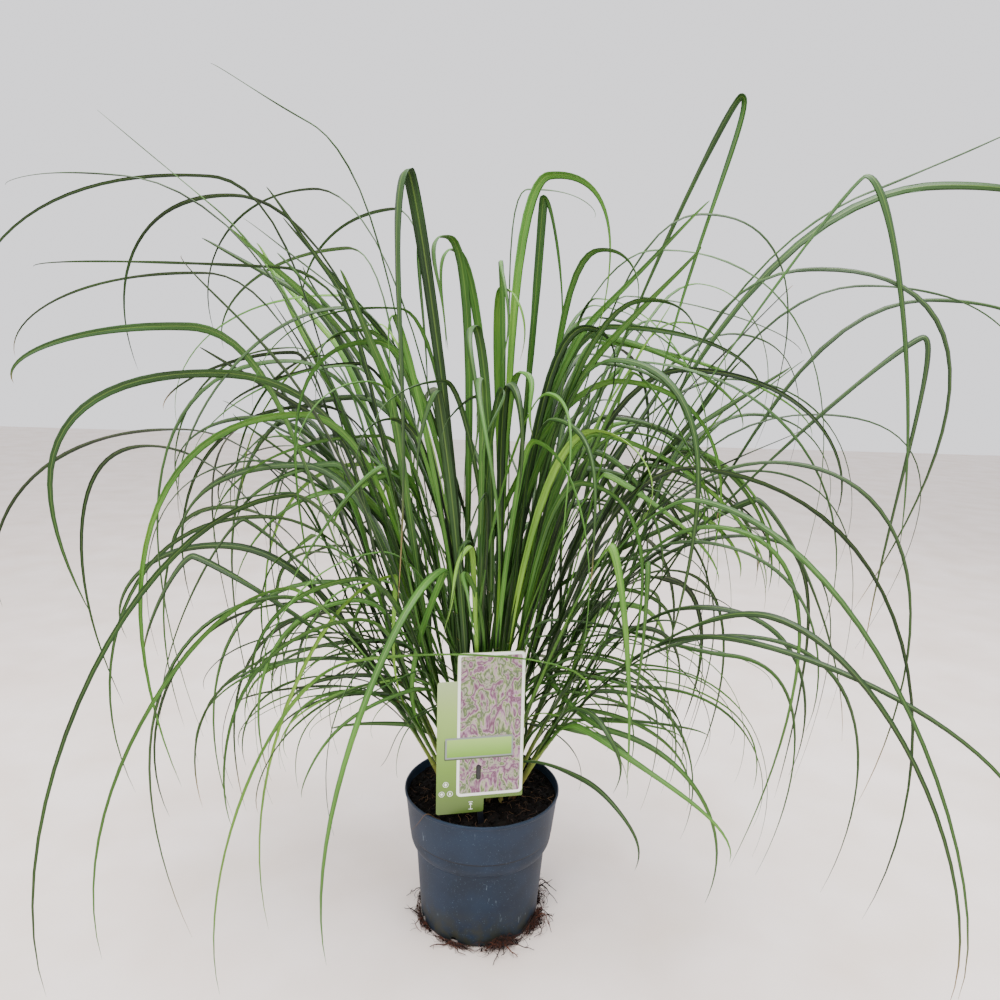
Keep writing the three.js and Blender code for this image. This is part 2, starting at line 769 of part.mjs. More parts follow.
const potPlastic = plain(0x46586a, 0.6);
const peat = plain(0x1b1411, 0.95);
const foliage = plain(0x4b7a34, 0.55);
const cardPrint = plain(0x86ad55, 0.4);
const stakePlastic = plain(0x15171f, 0.5);
const rootSkin = plain(0x35201a, 0.9);

function addPiece(group, name, geometry, material) {
  const mesh = new THREE.Mesh(geometry, material);
  mesh.name = name;
  group.add(mesh);
}

const group = new THREE.Group();
const stems = growStems();
addPiece(group, 'pot', toGeometry(makePot()), potPlastic);
const holes = [...stems.map(stemHole), stakeSolid(gap)];
addPiece(group, 'soil', toGeometry(makeSoil(holes)), peat);
addPiece(group, 'label_card', makeCard(), cardPrint);
addPiece(group, 'label_stake', toGeometry(stakeSolid(0)), stakePlastic);
for (let i = 0; i < notchCount; i += 1) {
  addPiece(group, `root_tuft_${i + 1}`, toGeometry(makeRootTuft(i)), rootSkin);
}
stems.forEach((stem, i) => {
  const name = `stem_${String(i + 1).padStart(2, '0')}`;
  addPiece(group, name, toGeometry(leafyStem(stem)), foliage);
});

export default group;
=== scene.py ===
"""Fountain grass growing in a nursery pot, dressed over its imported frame.

Shapes are worked out in millimetres in the frame's axes and stored in metres: +Z up, +X to the
right, +Y away from the front, with the origin in the middle of the pot's flat base.

Stems: stem i stands i golden angles round the clump, at a reach that grows with the square root
of i, as seeds stand in a sunflower, and it leans out more the further out it stands.
Leaves: a leaf's middle line is one curve that climbs from the stem's collar to the crest and one
that falls from the crest to the tip. It is turned about the pot until it is clear of the others.
Blade: a shallow V across, with a midrib below, that narrows along a long taper to its tip.
"""

import bmesh
import bpy
import numpy as np
from mathutils import Matrix, Vector


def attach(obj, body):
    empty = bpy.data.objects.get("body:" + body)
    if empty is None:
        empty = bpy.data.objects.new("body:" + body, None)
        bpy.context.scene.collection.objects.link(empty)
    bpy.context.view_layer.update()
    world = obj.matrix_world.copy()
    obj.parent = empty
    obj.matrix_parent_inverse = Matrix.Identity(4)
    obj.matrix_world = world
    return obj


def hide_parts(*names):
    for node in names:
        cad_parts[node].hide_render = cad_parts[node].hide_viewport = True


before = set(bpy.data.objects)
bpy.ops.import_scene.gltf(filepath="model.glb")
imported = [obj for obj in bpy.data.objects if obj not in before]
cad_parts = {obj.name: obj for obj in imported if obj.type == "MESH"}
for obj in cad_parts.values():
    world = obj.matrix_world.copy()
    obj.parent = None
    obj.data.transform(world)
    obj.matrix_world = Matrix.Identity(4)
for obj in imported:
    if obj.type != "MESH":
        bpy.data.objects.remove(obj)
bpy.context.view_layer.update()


# ---- View, floor and light -------------------------------------------------------------------
# The camera looks slightly down at the plant. The floor is a plain pale board, and the light is
# soft studio light: it comes from all round and is strongest from above.

# How far the camera looks down and leans, its place in metres, and its lens per sensor width
pitch = np.radians(9.386)
tilt = np.radians(1.685)
eye = (0.01065, -0.8013, 0.6015)
focal_share = 0.78

forward = np.array([0, np.cos(pitch), -np.sin(pitch)])
level_right = np.array([1.0, 0, 0])
level_up = np.cross(level_right, forward)
camera_right = np.cos(tilt) * level_right + np.sin(tilt) * level_up
camera_up = np.cross(camera_right, forward)
camera_axes = Matrix(np.column_stack([camera_right, camera_up, -forward]).tolist())
camera = bpy.data.objects.new("camera", bpy.data.cameras.new("camera"))
camera.data.sensor_width = 36
camera.data.lens = focal_share * camera.data.sensor_width
camera.matrix_world = Matrix.Translation(eye) @ camera_axes.to_4x4()
bpy.context.collection.objects.link(camera)
bpy.context.scene.camera = camera


def colour(code):
    """Linear colour of an sRGB hex value: each channel through the sRGB curve."""
    srgb = np.array([int(code[i:i + 2], 16) for i in (1, 3, 5)]) / 255
    linear = np.where(srgb <= 0.04045, srgb / 12.92, ((srgb + 0.055) / 1.055) ** 2.4)
    return (*linear.tolist(), 1.0)


def add_node(tree, kind, inputs=(), **settings):
    """New node with its settings, and its inputs by name or number, each linked or set."""
    node = tree.nodes.new(kind)
    for key, value in settings.items():
        setattr(node, key, value)
    for key, value in dict(inputs).items():
        if isinstance(value, bpy.types.NodeSocket):
            tree.links.new(value, node.inputs[key])
        else:
            node.inputs[key].default_value = value
    return node


def new_material(name, roughness, ior=1.5):
    """Material of that name, its node tree and its surface node."""
    material = bpy.data.materials.new(name)
    material.use_nodes = True
    surface = material.node_tree.nodes["Principled BSDF"]
    surface.inputs["Roughness"].default_value = roughness
    surface.inputs["IOR"].default_value = ior
    return material, material.node_tree, surface


def patches(tree, place, size, low, high, detail=3):
    """Where a cloudy noise is strong: 0 under low, 1 over high, with clouds size mm across."""
    cloud = add_node(tree, "ShaderNodeTexNoise",
                     {"Vector": place, "Scale": 1000 / size, "Detail": detail}).outputs["Fac"]
    return add_node(tree, "ShaderNodeMapRange", {0: cloud, 1: low, 2: high}).outputs[0]


# Painted board, rolled matt white: broad faint clouding where it has been wiped.
board, tree, surface = new_material("matt_white_painted_board", 0.55)
place = add_node(tree, "ShaderNodeTexCoord").outputs["Object"]
wiped = add_node(tree, "ShaderNodeMix", {0: patches(tree, place, 140, 0.35, 0.75), 6: colour("#e9ddd7"),
                                         7: colour("#dccdc2")}, data_type="RGBA")
tree.links.new(wiped.outputs[2], surface.inputs["Base Color"])

floor_half = 6.0
floor_mesh = bpy.data.meshes.new("floor")
corners = [(x * floor_half, y * floor_half, 0) for x, y in ((-1, -1), (1, -1), (1, 1), (-1, 1))]
floor_mesh.from_pydata(corners, [], [(0, 1, 2, 3)])
floor_mesh.materials.append(board)
floor = bpy.data.objects.new("floor", floor_mesh)
bpy.context.collection.objects.link(floor)

world = bpy.data.worlds.new("pale_studio")
world.use_nodes = True
sky = world.node_tree.nodes["Background"]
sky.inputs["Color"].default_value = colour("#efeef2")
sky.inputs["Strength"].default_value = 1.6
bpy.context.scene.world = world

lit_point = Vector((0, 0, 0.35))
# Name, place in metres, side in metres, watts
for name, spot, side, watts in (("overhead", (0.1, -0.3, 2.2), 1.4, 85),
                                ("front_left", (-0.9, -1.9, 1.5), 1.0, 32),
                                ("rear_right", (0.9, 1.6, 1.6), 1.2, 12)):
    lamp = bpy.data.objects.new(name, bpy.data.lights.new(name, "AREA"))
    lamp.data.size = side
    lamp.data.energy = watts
    towards = (lit_point - Vector(spot)).to_track_quat("-Z", "Y")
    lamp.matrix_world = Matrix.Translation(spot) @ towards.to_matrix().to_4x4()
    bpy.context.collection.objects.link(lamp)


# ---- Pot -------------------------------------------------------------------------------------
# A nursery pot of slate-blue polypropylene, pressed from warm sheet: a straight band under the
# rim, a rounded shoulder, a tapered body, and eight drain notches pressed up into the foot.

pot_height = 150.0
rim_radius = 85.0
foot_radius = 65.0
shoulder_height = 104.0
shoulder_radius = 78.8
waist_height = 85.5
waist_radius = 71.4
pot_wall = 1.6
pot_base = 2.2
notch_count = 8
notch_half = 5.0
notch_top = 6.5
notch_depth = 8.0
# Top of the small curl at the foot, and the height where a notch's pressing has died out
curl_top = 3.2
press_top = 12.0


def put_mesh(name, points, faces, materials, uv=None, tags=None, face_materials=None, smooth=True):
    """Mesh object at the origin from millimetre points, each closed body facing outwards.

    The UV has a row for each point, and so have the colour tags, unless one holds for them all.
    """
    mesh = bpy.data.meshes.new(name)
    mesh.from_pydata((points * 0.001).tolist(), [], faces)
    for material in materials:
        mesh.materials.append(material)
    if face_materials is not None:
        mesh.polygons.foreach_set("material_index", face_materials.astype(np.int32))
    mesh.polygons.foreach_set("use_smooth", np.full(len(mesh.polygons), smooth))
    if uv is not None:
        at = np.empty(len(mesh.loops), dtype=np.int32)
        mesh.loops.foreach_get("vertex_index", at)
        mesh.uv_layers.new(name="surface").data.foreach_set("uv", uv.astype(np.float32)[at].ravel())
    if tags is not None:
        rgba = np.ones((len(points), 4), dtype=np.float32)
        rgba[:, :3] = tags
        mesh.attributes.new("growth", "FLOAT_COLOR", "POINT").data.foreach_set("color", rgba.ravel())
    body = bmesh.new()
    body.from_mesh(mesh)
    bmesh.ops.recalc_face_normals(body, faces=body.faces)
    body.to_mesh(mesh)
    body.free()
    piece = bpy.data.objects.new(name, mesh)
    bpy.context.collection.objects.link(piece)
    return piece


def fasten(piece, slot, *nodes):
    """Rides on the plant's one body and stands for the nodes named. Its slot is not used."""
    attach(piece, "root")
    if nodes:
        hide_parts(*nodes)


def sleeve_faces(rows, columns):
    """Quads between rows of points that close round on themselves, as lists."""
    row = np.arange(rows - 1)[:, None] * columns
    here = np.arange(columns)
    after = (here + 1) % columns
    quads = np.stack([row + here, row + after, row + columns + after, row + columns + here], axis=-1)
    return quads.reshape(-1, 4).tolist()


def turned_body(reach, turns, height, low, high):
    """Rows of points round the upright axis: reach times the turn's cosine and sine, and height.

    The first row is closed to a point at the height low, and the last row to one at high.
    """
    rows, columns = height.shape
    rings = np.stack([reach * np.cos(turns), reach * np.sin(turns), height], axis=-1).reshape(-1, 3)
    points = np.concatenate([rings, [[0, 0, low], [0, 0, high]]])
    here = np.arange(columns)
    after = (here + 1) % columns
    last = (rows - 1) * columns
    pole = np.full(columns, len(rings))
    faces = sleeve_faces(rows, columns)
    faces += np.stack([pole, after, here], axis=-1).tolist()
    faces += np.stack([pole + 1, last + here, last + after], axis=-1).tolist()
    return points, faces


def rounded(outline, steps=3):
    """Outline with each inner corner cut twice to a soft curve (corners cut at a quarter)."""
    for _ in range(steps):
        quarter = 0.75 * outline[:-1] + 0.25 * outline[1:]
        three = 0.25 * outline[:-1] + 0.75 * outline[1:]
        cut = np.stack([quarter, three], axis=1).reshape(-1, 2)
        outline = np.concatenate([outline[:1], cut, outline[-1:]])
    return outline


slope = (waist_radius - foot_radius) / waist_height
outside = rounded(np.array([
    [foot_radius - 1.6, 0.0], [foot_radius - 0.4, 0.0], [foot_radius + 0.1, 3.0],
    [waist_radius - 1.4 * slope, waist_height - 1.4], [waist_radius, waist_height],
    [waist_radius + 1.8, waist_height + 1.0], [waist_radius + 4.2, waist_height + 4.2],
    [shoulder_radius - 1.2, shoulder_height - 9.0], [shoulder_radius - 0.5, shoulder_height - 1.2],
    [shoulder_radius - 0.45, shoulder_height - 0.4], [shoulder_radius + 0.1, shoulder_height + 0.2],
    [shoulder_radius + 0.2, shoulder_height + 1.4],
    [rim_radius - 1.3, pot_height - 4.6], [rim_radius - 1.1, pot_height - 3.7],
    [rim_radius, pot_height - 3.4], [rim_radius, pot_height - 0.5],
    [rim_radius - 0.5, pot_height], [rim_radius - 1.4, pot_height]]), 2)
inside = rounded(np.array([
    [rim_radius - 1.5, pot_height], [rim_radius - 1.9, pot_height - 0.2],
    [rim_radius - 2.3, pot_height - 3.0],
    [shoulder_radius - pot_wall, shoulder_height],
    [shoulder_radius - 0.9 - pot_wall, shoulder_height - 7.5],
    [waist_radius + 3 - pot_wall, waist_height + 5], [waist_radius - pot_wall, waist_height + 1.5],
    [foot_radius + slope * pot_base - pot_wall, pot_base + 0.6],
    [foot_radius + slope * pot_base - pot_wall - 1, pot_base]]), 2)


def pot_surface():
    """Profile carried round: near a notch, the rows below its arch are pressed up above it.

    Turns are closer together at the notches, so that each arch has a clean edge.
    """
    bay = 360 / notch_count
    off = np.concatenate([np.arange(-bay / 2, -6, 2.75), np.arange(-5.5, 5.6, 0.5),
                          np.arange(8.25, bay / 2 - 0.5, 2.75)])
    middles = bay * (np.arange(notch_count) + 0.5)
    turns = np.radians((middles[:, None] + off).ravel())
    under = [[foot_radius - 12, 0], [foot_radius - notch_depth, 0], [foot_radius - 4, 0]]
    curl = outside[outside[:, 1] < curl_top]
    press_row = [[foot_radius + slope * press_top, press_top]]
    wall = outside[outside[:, 1] > press_top + 0.5]
    outer = np.concatenate([under, curl, press_row, wall])
    floor_rows = [[foot_radius - notch_depth - 2, pot_base], [foot_radius - 14, pot_base]]
    profile = np.concatenate([outer, inside, floor_rows])
    radius = np.repeat(profile[:, :1], len(turns), axis=1)
    height = np.repeat(profile[:, 1:], len(turns), axis=1)
    sideways = np.tile(np.radians(np.abs(off)) * foot_radius, notch_count)
    arch = notch_top * np.sqrt(np.clip(1 - (sideways / notch_half) ** 2, 0, 1))
    is_outer = (np.arange(len(profile)) < len(outer))[:, None]
    at_edge = radius >= foot_radius - notch_depth
    lifted = np.where(height < press_top, arch + height * (press_top - arch) / press_top, height)
    height = np.where(is_outer & at_edge, lifted, height)
    inner_arch = np.where(arch > 0, arch + pot_wall, 0)
    height = np.where(~is_outer & at_edge & (height < inner_arch), inner_arch, height)
    return turned_body(radius, turns, height, 0, pot_base)


# Polypropylene, matt from the mould: a faint cloud of paler bloom, fine pale specks, scuffs from
# handling that show almost white, peat dust rubbed on round the foot, and a fine grain.
plastic, tree, surface = new_material("matt_slate_polypropylene", 0.55, 1.49)
surface.inputs["Specular IOR Level"].default_value = 0.28
place = add_node(tree, "ShaderNodeTexCoord").outputs["Object"]
height_of = add_node(tree, "ShaderNodeSeparateXYZ", {0: place}).outputs["Z"]
# The band above the shoulder is painted paler as painted light, over a dark line of painted shade at
# the shoulder's crease (heights here are in metres).
band_painted_light = add_node(tree, "ShaderNodeMapRange", {0: height_of, 1: 0.103, 2: 0.106, 4: 0.18})
off_crease = add_node(tree, "ShaderNodeMath", {0: height_of, 1: 0.1036}, operation="SUBTRACT")
off_crease = add_node(tree, "ShaderNodeMath", {0: off_crease.outputs[0]}, operation="ABSOLUTE")
crease = add_node(tree, "ShaderNodeMapRange", {0: off_crease.outputs[0], 1: 0.0012, 2: 0.0003})
drawn_out = add_node(tree, "ShaderNodeMapping", {0: place, "Scale": (1, 1, 0.28)}).outputs[0]
scuffs = add_node(tree, "ShaderNodeMath", {0: patches(tree, drawn_out, 3.2, 0.66, 0.76, 2),
                                           1: patches(tree, place, 42, 0.54, 0.68, 1)},
                  operation="MULTIPLY")
low_down = add_node(tree, "ShaderNodeMapRange", {0: height_of, 1: 0.045, 2: 0.002})
dust = add_node(tree, "ShaderNodeMath", {0: low_down.outputs[0],
                                         1: patches(tree, place, 11, 0.36, 0.6, 5)},
                operation="MULTIPLY")
# Layers in order: paler bloom, painted light on the band, painted shade along the crease, pale specks,
# scuffs, peat dust.
shade = colour("#0c1a29")
for mask, code in ((patches(tree, place, 33, 0.35, 0.7), "#112336"),
                   (band_painted_light.outputs[0], "#1a2d42"),
                   (crease.outputs[0], "#0b1119"),
                   (patches(tree, place, 1.3, 0.68, 0.78, 1), "#425363"),
                   (scuffs.outputs[0], "#74848f"),
                   (dust.outputs[0], "#26271a")):
    shade = add_node(tree, "ShaderNodeMix", {0: mask, 6: shade, 7: colour(code)},
                     data_type="RGBA").outputs[2]
tree.links.new(shade, surface.inputs["Base Color"])
grain = add_node(tree, "ShaderNodeBump", {"Height": patches(tree, place, 0.7, 0.2, 0.8, 2),
                                          "Distance": 0.00006, "Strength": 0.5})
tree.links.new(grain.outputs[0], surface.inputs["Normal"])

points, faces = pot_surface()
pot = put_mesh("moulded_pot", points, faces, [plastic])
fasten(pot, "pot", "pot")


# ---- Soil ------------------------------------------------------------------------------------
# Moist peat potting soil that fills the pot to just under its rim. Its top is heaped a little
# round the stems and broken into crumbs, with rusty and straw-coloured peat fibres in it.

soil_top = 140.0
soil_crown = 5.0
soil_edge = 82.2
soil_foot = pot_base + 0.3
soil_rows, soil_columns = 62, 220
seed = 1907
# Lengths and depths of the rough ground's waves, and how many there are of each length
rough_waves = ((14, 0.7), (8, 0.6), (5, 0.5), (3, 0.35))
waves_each = 5


def soil_height(x, y):
    """Low dome plus two sets of slow waves that cross each other."""
    away = np.hypot(x, y) / rim_radius
    waves = np.sin(x / 9 + 1) * np.cos(y / 7) + 0.6 * np.sin((x - y) / 13)
    return soil_top + soil_crown * (1 - away * away) + 0.8 * waves


def crumble(x, y, draw):
    """Rough ground: sine waves of random direction and phase, each finer one lower."""
    total = np.zeros_like(x)
    for wavelength, depth in rough_waves:
        for _ in range(waves_each):
            angle, phase = draw.uniform(0, 2 * np.pi, 2)
            run = x * np.cos(angle) + y * np.sin(angle)
            total += depth * 0.5 * np.sin(2 * np.pi * run / wavelength + phase)
    return total


def soil_surface(draw):
    """Solid of revolution whose top rows follow the rough ground, calmer beside the pot's wall."""
    turns = np.linspace(0, 2 * np.pi, soil_columns, endpoint=False)
    wall = np.array([[foot_radius - 8, soil_foot], [foot_radius - 2.4, pot_base + 0.4],
                     [waist_radius - pot_wall - 0.4, waist_height + 2],
                     [shoulder_radius - pot_wall - 0.4, shoulder_height + 0.3],
                     [soil_edge, soil_top - 3]])
    reach = np.concatenate([wall[:, 0], np.linspace(soil_edge, 1.2, soil_rows)])[:, None]
    x, y = reach * np.cos(turns), reach * np.sin(turns)
    calm = np.clip((soil_edge + 1 - reach) / 6, 0.25, 1)
    height = soil_height(x, y) + crumble(x, y, draw) * calm
    height[:len(wall)] = wall[:, 1:]
    return turned_body(reach, turns, height, soil_foot, height[-1].mean())


# Twelve-cornered ball of about unit radius, and its twenty sides
golden = (1 + 5 ** 0.5) / 2
ball = np.array([(-1, golden, 0), (1, golden, 0), (-1, -golden, 0), (1, -golden, 0),
                 (0, -1, golden), (0, 1, golden), (0, -1, -golden), (0, 1, -golden),
                 (golden, 0, -1), (golden, 0, 1), (-golden, 0, -1), (-golden, 0, 1)]) / 1.9
ball_sides = np.array([(0, 11, 5), (0, 5, 1), (0, 1, 7), (0, 7, 10), (0, 10, 11), (1, 5, 9), (5, 11, 4),
                       (11, 10, 2), (10, 7, 6), (7, 1, 8), (3, 9, 4), (3, 4, 2), (3, 2, 6), (3, 6, 8),
                       (3, 8, 9), (4, 9, 5), (2, 4, 11), (6, 2, 10), (8, 6, 7), (9, 8, 1)])


def lumps(centres, sizes, draw):
    """Crumbs of earth: the ball, with each corner pushed in or out and each axis stretched."""
    count = len(centres)
    shape = ball * (sizes[:, None, None] * draw.uniform(0.65, 1.25, (count, len(ball), 1)))
    shape *= draw.uniform(0.6, 1.3, (count, 1, 3))
    faces = ball_sides + len(ball) * np.arange(count)[:, None, None]
    return (shape + centres[:, None]).reshape(-1, 3), faces.reshape(-1, 3).tolist()


def around(turn, reach, height):
    """Point at a turn in degrees about the pot's middle, counted from +X, at a reach and a height."""
    angle = np.radians(turn)
    return np.array([reach * np.cos(angle), reach * np.sin(angle), height])


def passing(knots, count):
    """Smooth curve through a few points: each stretch a cubic whose slopes are the chords'."""
    knots = np.asarray(knots)
    ends = np.concatenate([[2 * knots[0] - knots[1]], knots, [2 * knots[-1] - knots[-2]]])
    t = np.linspace(0, len(knots) - 1 - 1e-9, count)
    i = t.astype(int)
    f = (t - i)[:, None]
    p0, p1, p2, p3 = (ends[i + k] for k in range(4))
    return 0.5 * (2 * p1 + (p2 - p0) * f + (2 * p0 - 5 * p1 + 4 * p2 - p3) * f ** 2
                  + (3 * p1 - p0 - 3 * p2 + p3) * f ** 3)


def unit(vectors):
    """Each vector at a length of 1."""
    return vectors / np.linalg.norm(vectors, axis=1, keepdims=True)


def tube_faces(rows, columns):
    """Sleeve with a face over each end."""
    first, last = range(columns), range((rows - 1) * columns, rows * columns)
    return sleeve_faces(rows, columns) + [list(first)[::-1], list(last)]


def strand(path, radius, sides):
    """Round section carried along a path, closed at both ends.

    Its side is square to the path and to the axis that the path runs along least.
    """
    tangent = unit(np.gradient(path, axis=0))
    side = unit(np.cross(tangent, np.eye(3)[np.abs(tangent).max(axis=0).argmin()]))
    top = np.cross(side, tangent)
    angle = np.linspace(0, 2 * np.pi, sides, endpoint=False)[:, None]
    ring = np.cos(angle) * side[:, None] + np.sin(angle) * top[:, None]
    points = (path[:, None] + ring * radius[:, None, None]).reshape(-1, 3)
    return points, tube_faces(len(path), sides)


def gather(parts):
    """Several shapes as one list of points and faces, with the part number of each point."""
    points, faces, owner = [], [], []
    first = 0
    for number, (some_points, some_faces) in enumerate(parts):
        points.append(some_points)
        faces += [[corner + first for corner in face] for face in some_faces]
        owner.append(np.full(len(some_points), number))
        first += len(some_points)
    return np.concatenate(points), faces, np.concatenate(owner)


fibre_rows = 9


def peat_fibre(draw):
    """Short curled fibre on the ground: an arc that wanders and lifts a little."""
    reach = (soil_edge - 6) * np.sqrt(draw.uniform())
    turn, heading, bend = draw.uniform(0, 2 * np.pi, 3)
    length = draw.uniform(5, 20)
    step = np.linspace(0, 1, fibre_rows)
    course = heading + (bend - np.pi) * 0.45 * step + 0.5 * np.sin(6 * step + bend)
    x = reach * np.cos(turn) + np.cumsum(np.cos(course)) * length / fibre_rows
    y = reach * np.sin(turn) + np.cumsum(np.sin(course)) * length / fibre_rows
    within = np.minimum(1, (soil_edge - 3) / np.maximum(np.hypot(x, y), 1))
    x, y = x * within, y * within
    height = soil_height(x, y) + 0.6 + draw.uniform(0.2, 3) * np.sin(np.pi * step)
    return strand(np.stack([x, y, height], axis=-1), draw.uniform(0.12, 0.4) * (1 - 0.6 * step), 4)


# Peat, dug and sieved, kept moist: nearly black, browner where it has dried, dull all over.
peat, tree, surface = new_material("moist_sieved_peat", 0.93, 1.45)
surface.inputs["Specular IOR Level"].default_value = 0.15
place = add_node(tree, "ShaderNodeTexCoord").outputs["Object"]
earth = add_node(tree, "ShaderNodeMix", {0: patches(tree, place, 6, 0.35, 0.7, 5),
                                         6: colour("#040302"), 7: colour("#0f0906")},
                 data_type="RGBA")
flecked = add_node(tree, "ShaderNodeMix", {0: patches(tree, place, 2, 0.66, 0.76, 2),
                                           6: earth.outputs[2], 7: colour("#291a12")},
                   data_type="RGBA")
tree.links.new(flecked.outputs[2], surface.inputs["Base Color"])
crumbly = add_node(tree, "ShaderNodeBump", {"Height": patches(tree, place, 2.4, 0.2, 0.8, 5),
                                            "Distance": 0.0008, "Strength": 0.9})
tree.links.new(crumbly.outputs[0], surface.inputs["Normal"])

draw = np.random.default_rng(seed)
crumb_count = 2200
crumb_reach = (soil_edge - 2.5) * np.sqrt(draw.uniform(0, 1, crumb_count))
crumb_turn = draw.uniform(0, 2 * np.pi, crumb_count)
crumb_x, crumb_y = crumb_reach * np.cos(crumb_turn), crumb_reach * np.sin(crumb_turn)
crumb_lift = draw.uniform(-0.3, 0.9, crumb_count)
crumb_places = np.stack([crumb_x, crumb_y, soil_height(crumb_x, crumb_y) + crumb_lift], axis=-1)
crumb_sizes = 0.5 + 1.6 * draw.uniform(0, 1, crumb_count) ** 2.4
points, faces, _ = gather([soil_surface(draw), lumps(crumb_places, crumb_sizes, draw)])
soil = put_mesh("potting_soil", points, faces, [peat])
fasten(soil, "soil", "soil")

# Peat fibre: dead moss stalks and rootlets, dry and dull, from straw to rust.
fibre, tree, surface = new_material("dry_peat_fibre", 0.8, 1.45)
tag = add_node(tree, "ShaderNodeAttribute", attribute_name="growth").outputs["Color"]
straw = add_node(tree, "ShaderNodeMix", {0: tag, 6: colour("#2c170c"), 7: colour("#6b4f30")},
                 data_type="RGBA")
tree.links.new(straw.outputs[2], surface.inputs["Base Color"])

fibre_count = 190
points, faces, owner = gather([peat_fibre(draw) for _ in range(fibre_count)])
tones = draw.uniform(0, 1, fibre_count) ** 2.2
fibres = put_mesh("peat_fibres", points, faces, [fibre], tags=tones[owner][:, None])
fasten(fibres, "soil")

# A long dry rootlet has sprung out of the soil and hangs over the rim. Knots: turn, reach, height.
over_rim = [(236, 72, 141.5), (233, 79, 147), (231, 84, 151.4), (228, 86.2, 149), (223, 85.6, 139),
            (218, 85.2, 130), (215, 87, 124)]
rootlet_rows = 40
path = passing([around(*knot) for knot in over_rim], rootlet_rows)
points, faces = strand(path, np.linspace(0.34, 0.12, rootlet_rows), 6)
rootlet = put_mesh("rootlet_over_rim", points, faces, [fibre], tags=0.8)
fasten(rootlet, "soil")


# ---- Leafy stems -----------------------------------------------------------------------------
# Each stem is a round culm wrapped in its leaves' sheaths, and each leaf leaves it at a collar.
# The whole shoot grew as one, so it is one piece. Its place and its leaves follow one rule.

stem_count = 40
clump_radius = 43
clump_back = 7
golden_turn = 137.508
root_depth = 18
stem_radius = 2.5
stem_top_radius = 1.3
tallest_stem = 250
shortest_stem = 110
greatest_lean = 36
# Collars as shares of a stem's height, from the lowest, and how often a leaf is tried at one
collars = (0.4, 0.56, 0.72, 0.86, 1)
seen_tries = 4
fill_tries = 40
# A curve longer than this is tested in one more step
long_leaf = 230
floor_clearance = 5
leaf_clearance = 0.6

# The label's place, which the leaves keep clear of: its foot, its turn and lean, and its card
label_base = np.array([2.0, -63.0, 141.0])
label_turn = 12
label_lean = 2
card_left, card_right, card_top = -48, 41.5, 183
card_thickness = 0.7
stake_thickness = 2


def turn_matrix(axis, degrees):
    """Turn about one axis as a matrix."""
    return np.array(Matrix.Rotation(np.radians(degrees), 3, axis))


label_axes = turn_matrix("Z", label_turn) @ turn_matrix("X", 90 - label_lean)


class Shoot:
    """One stem: where it stands, how it leans, how tall it is and the leaves it has borne."""


def dice(start):
    """The same draws between 0 and 1 each time: a linear congruential sequence."""
    state = start

    def draw_next():
        nonlocal state
        state = (state * 1664525 + 1013904223) % 2 ** 32
        return state / 2 ** 32
    return draw_next


def stem_direction(stem, share):
    """Leans out a little more towards the top."""
    lean = np.radians(stem.lean * (0.75 + 0.45 * share))
    return around(stem.turn, np.sin(lean), np.cos(lean))


def stem_point(stem, share):
    """Point up the bent stem: short steps along its direction, added up."""
    steps = 12
    point = stem.foot.copy()
    for i in range(steps):
        part = min(max(share * steps - i, 0), 1)
        point += stem_direction(stem, (i + 0.5) / steps) * (stem.height / steps) * part
    return point


def runs_of(owner, line, half):
    """Straight runs between a line's points: owner, two ends and half width, as arrays."""
    line = np.asarray(line)
    wide = np.maximum(half[:-1], half[1:])
    return np.full(len(wide), owner), line[:-1], line[1:], wide


def points_on(runs):
    """Five even points along each run."""
    _, start, end, _ = runs
    return start[None] + (end - start)[None] * np.linspace(0, 1, 5)[:, None, None]


def label_clear(runs):
    """No point of the runs lies in the box round card and stake, widened by the run's half."""
    local = (points_on(runs) - label_base) @ label_axes
    margin = runs[3] + 2
    across = (local[..., 0] > card_left - margin) & (local[..., 0] < card_right + margin)
    high = (local[..., 1] > -5) & (local[..., 1] < card_top + margin)
    back, face = -stake_thickness - 1 - margin, card_thickness + 1 + margin
    deep = (local[..., 2] > back) & (local[..., 2] < face)
    return not (across & high & deep).any()


def pot_clear(runs):
    """No point of the runs is both lower than just above the rim and nearer than just past it."""
    points = points_on(runs)
    near = np.hypot(points[..., 0], points[..., 1]) < rim_radius + 5
    return not ((points[..., 2] < pot_height + 4) & near).any()


def clear_of(runs, placed):
    """Least distance of every run to every placed run of another stem is over the room they need.

    It is taken between the nearest points of both, at the shares s and t along them.
    """
    if not (label_clear(runs) and pot_clear(runs)):
        return False
    owner, start, end, half = (array[:, None] for array in runs)
    other_owner, other_start, other_end, other_half = placed
    d1, d2, r = end - start, (other_end - other_start)[None], start - other_start[None]
    a, e = (d1 * d1).sum(-1), (d2 * d2).sum(-1)
    b, c, f = (d1 * d2).sum(-1), (d1 * r).sum(-1), (d2 * r).sum(-1)
    spread = a * e - b * b
    safe = np.where(spread > 1e-9, spread, 1)
    s = np.where(spread > 1e-9, np.clip((b * f - c * e) / safe, 0, 1), 0)
    t = np.clip((b * s + f) / e, 0, 1)
    s = np.clip((b * t - c) / a, 0, 1)
    apart = np.linalg.norm(r + d1 * s[..., None] - d2 * t[..., None], axis=-1)
    return not ((apart <= half + other_half + leaf_clearance) & (owner != other_owner)).any()


def stem_runs(stem):
    """The stem as four straight runs."""
    line = [stem_point(stem, share) for share in (0, 0.25, 0.5, 0.75, 1)]
    return runs_of(stem.index, line, np.full(len(line), stem_radius))


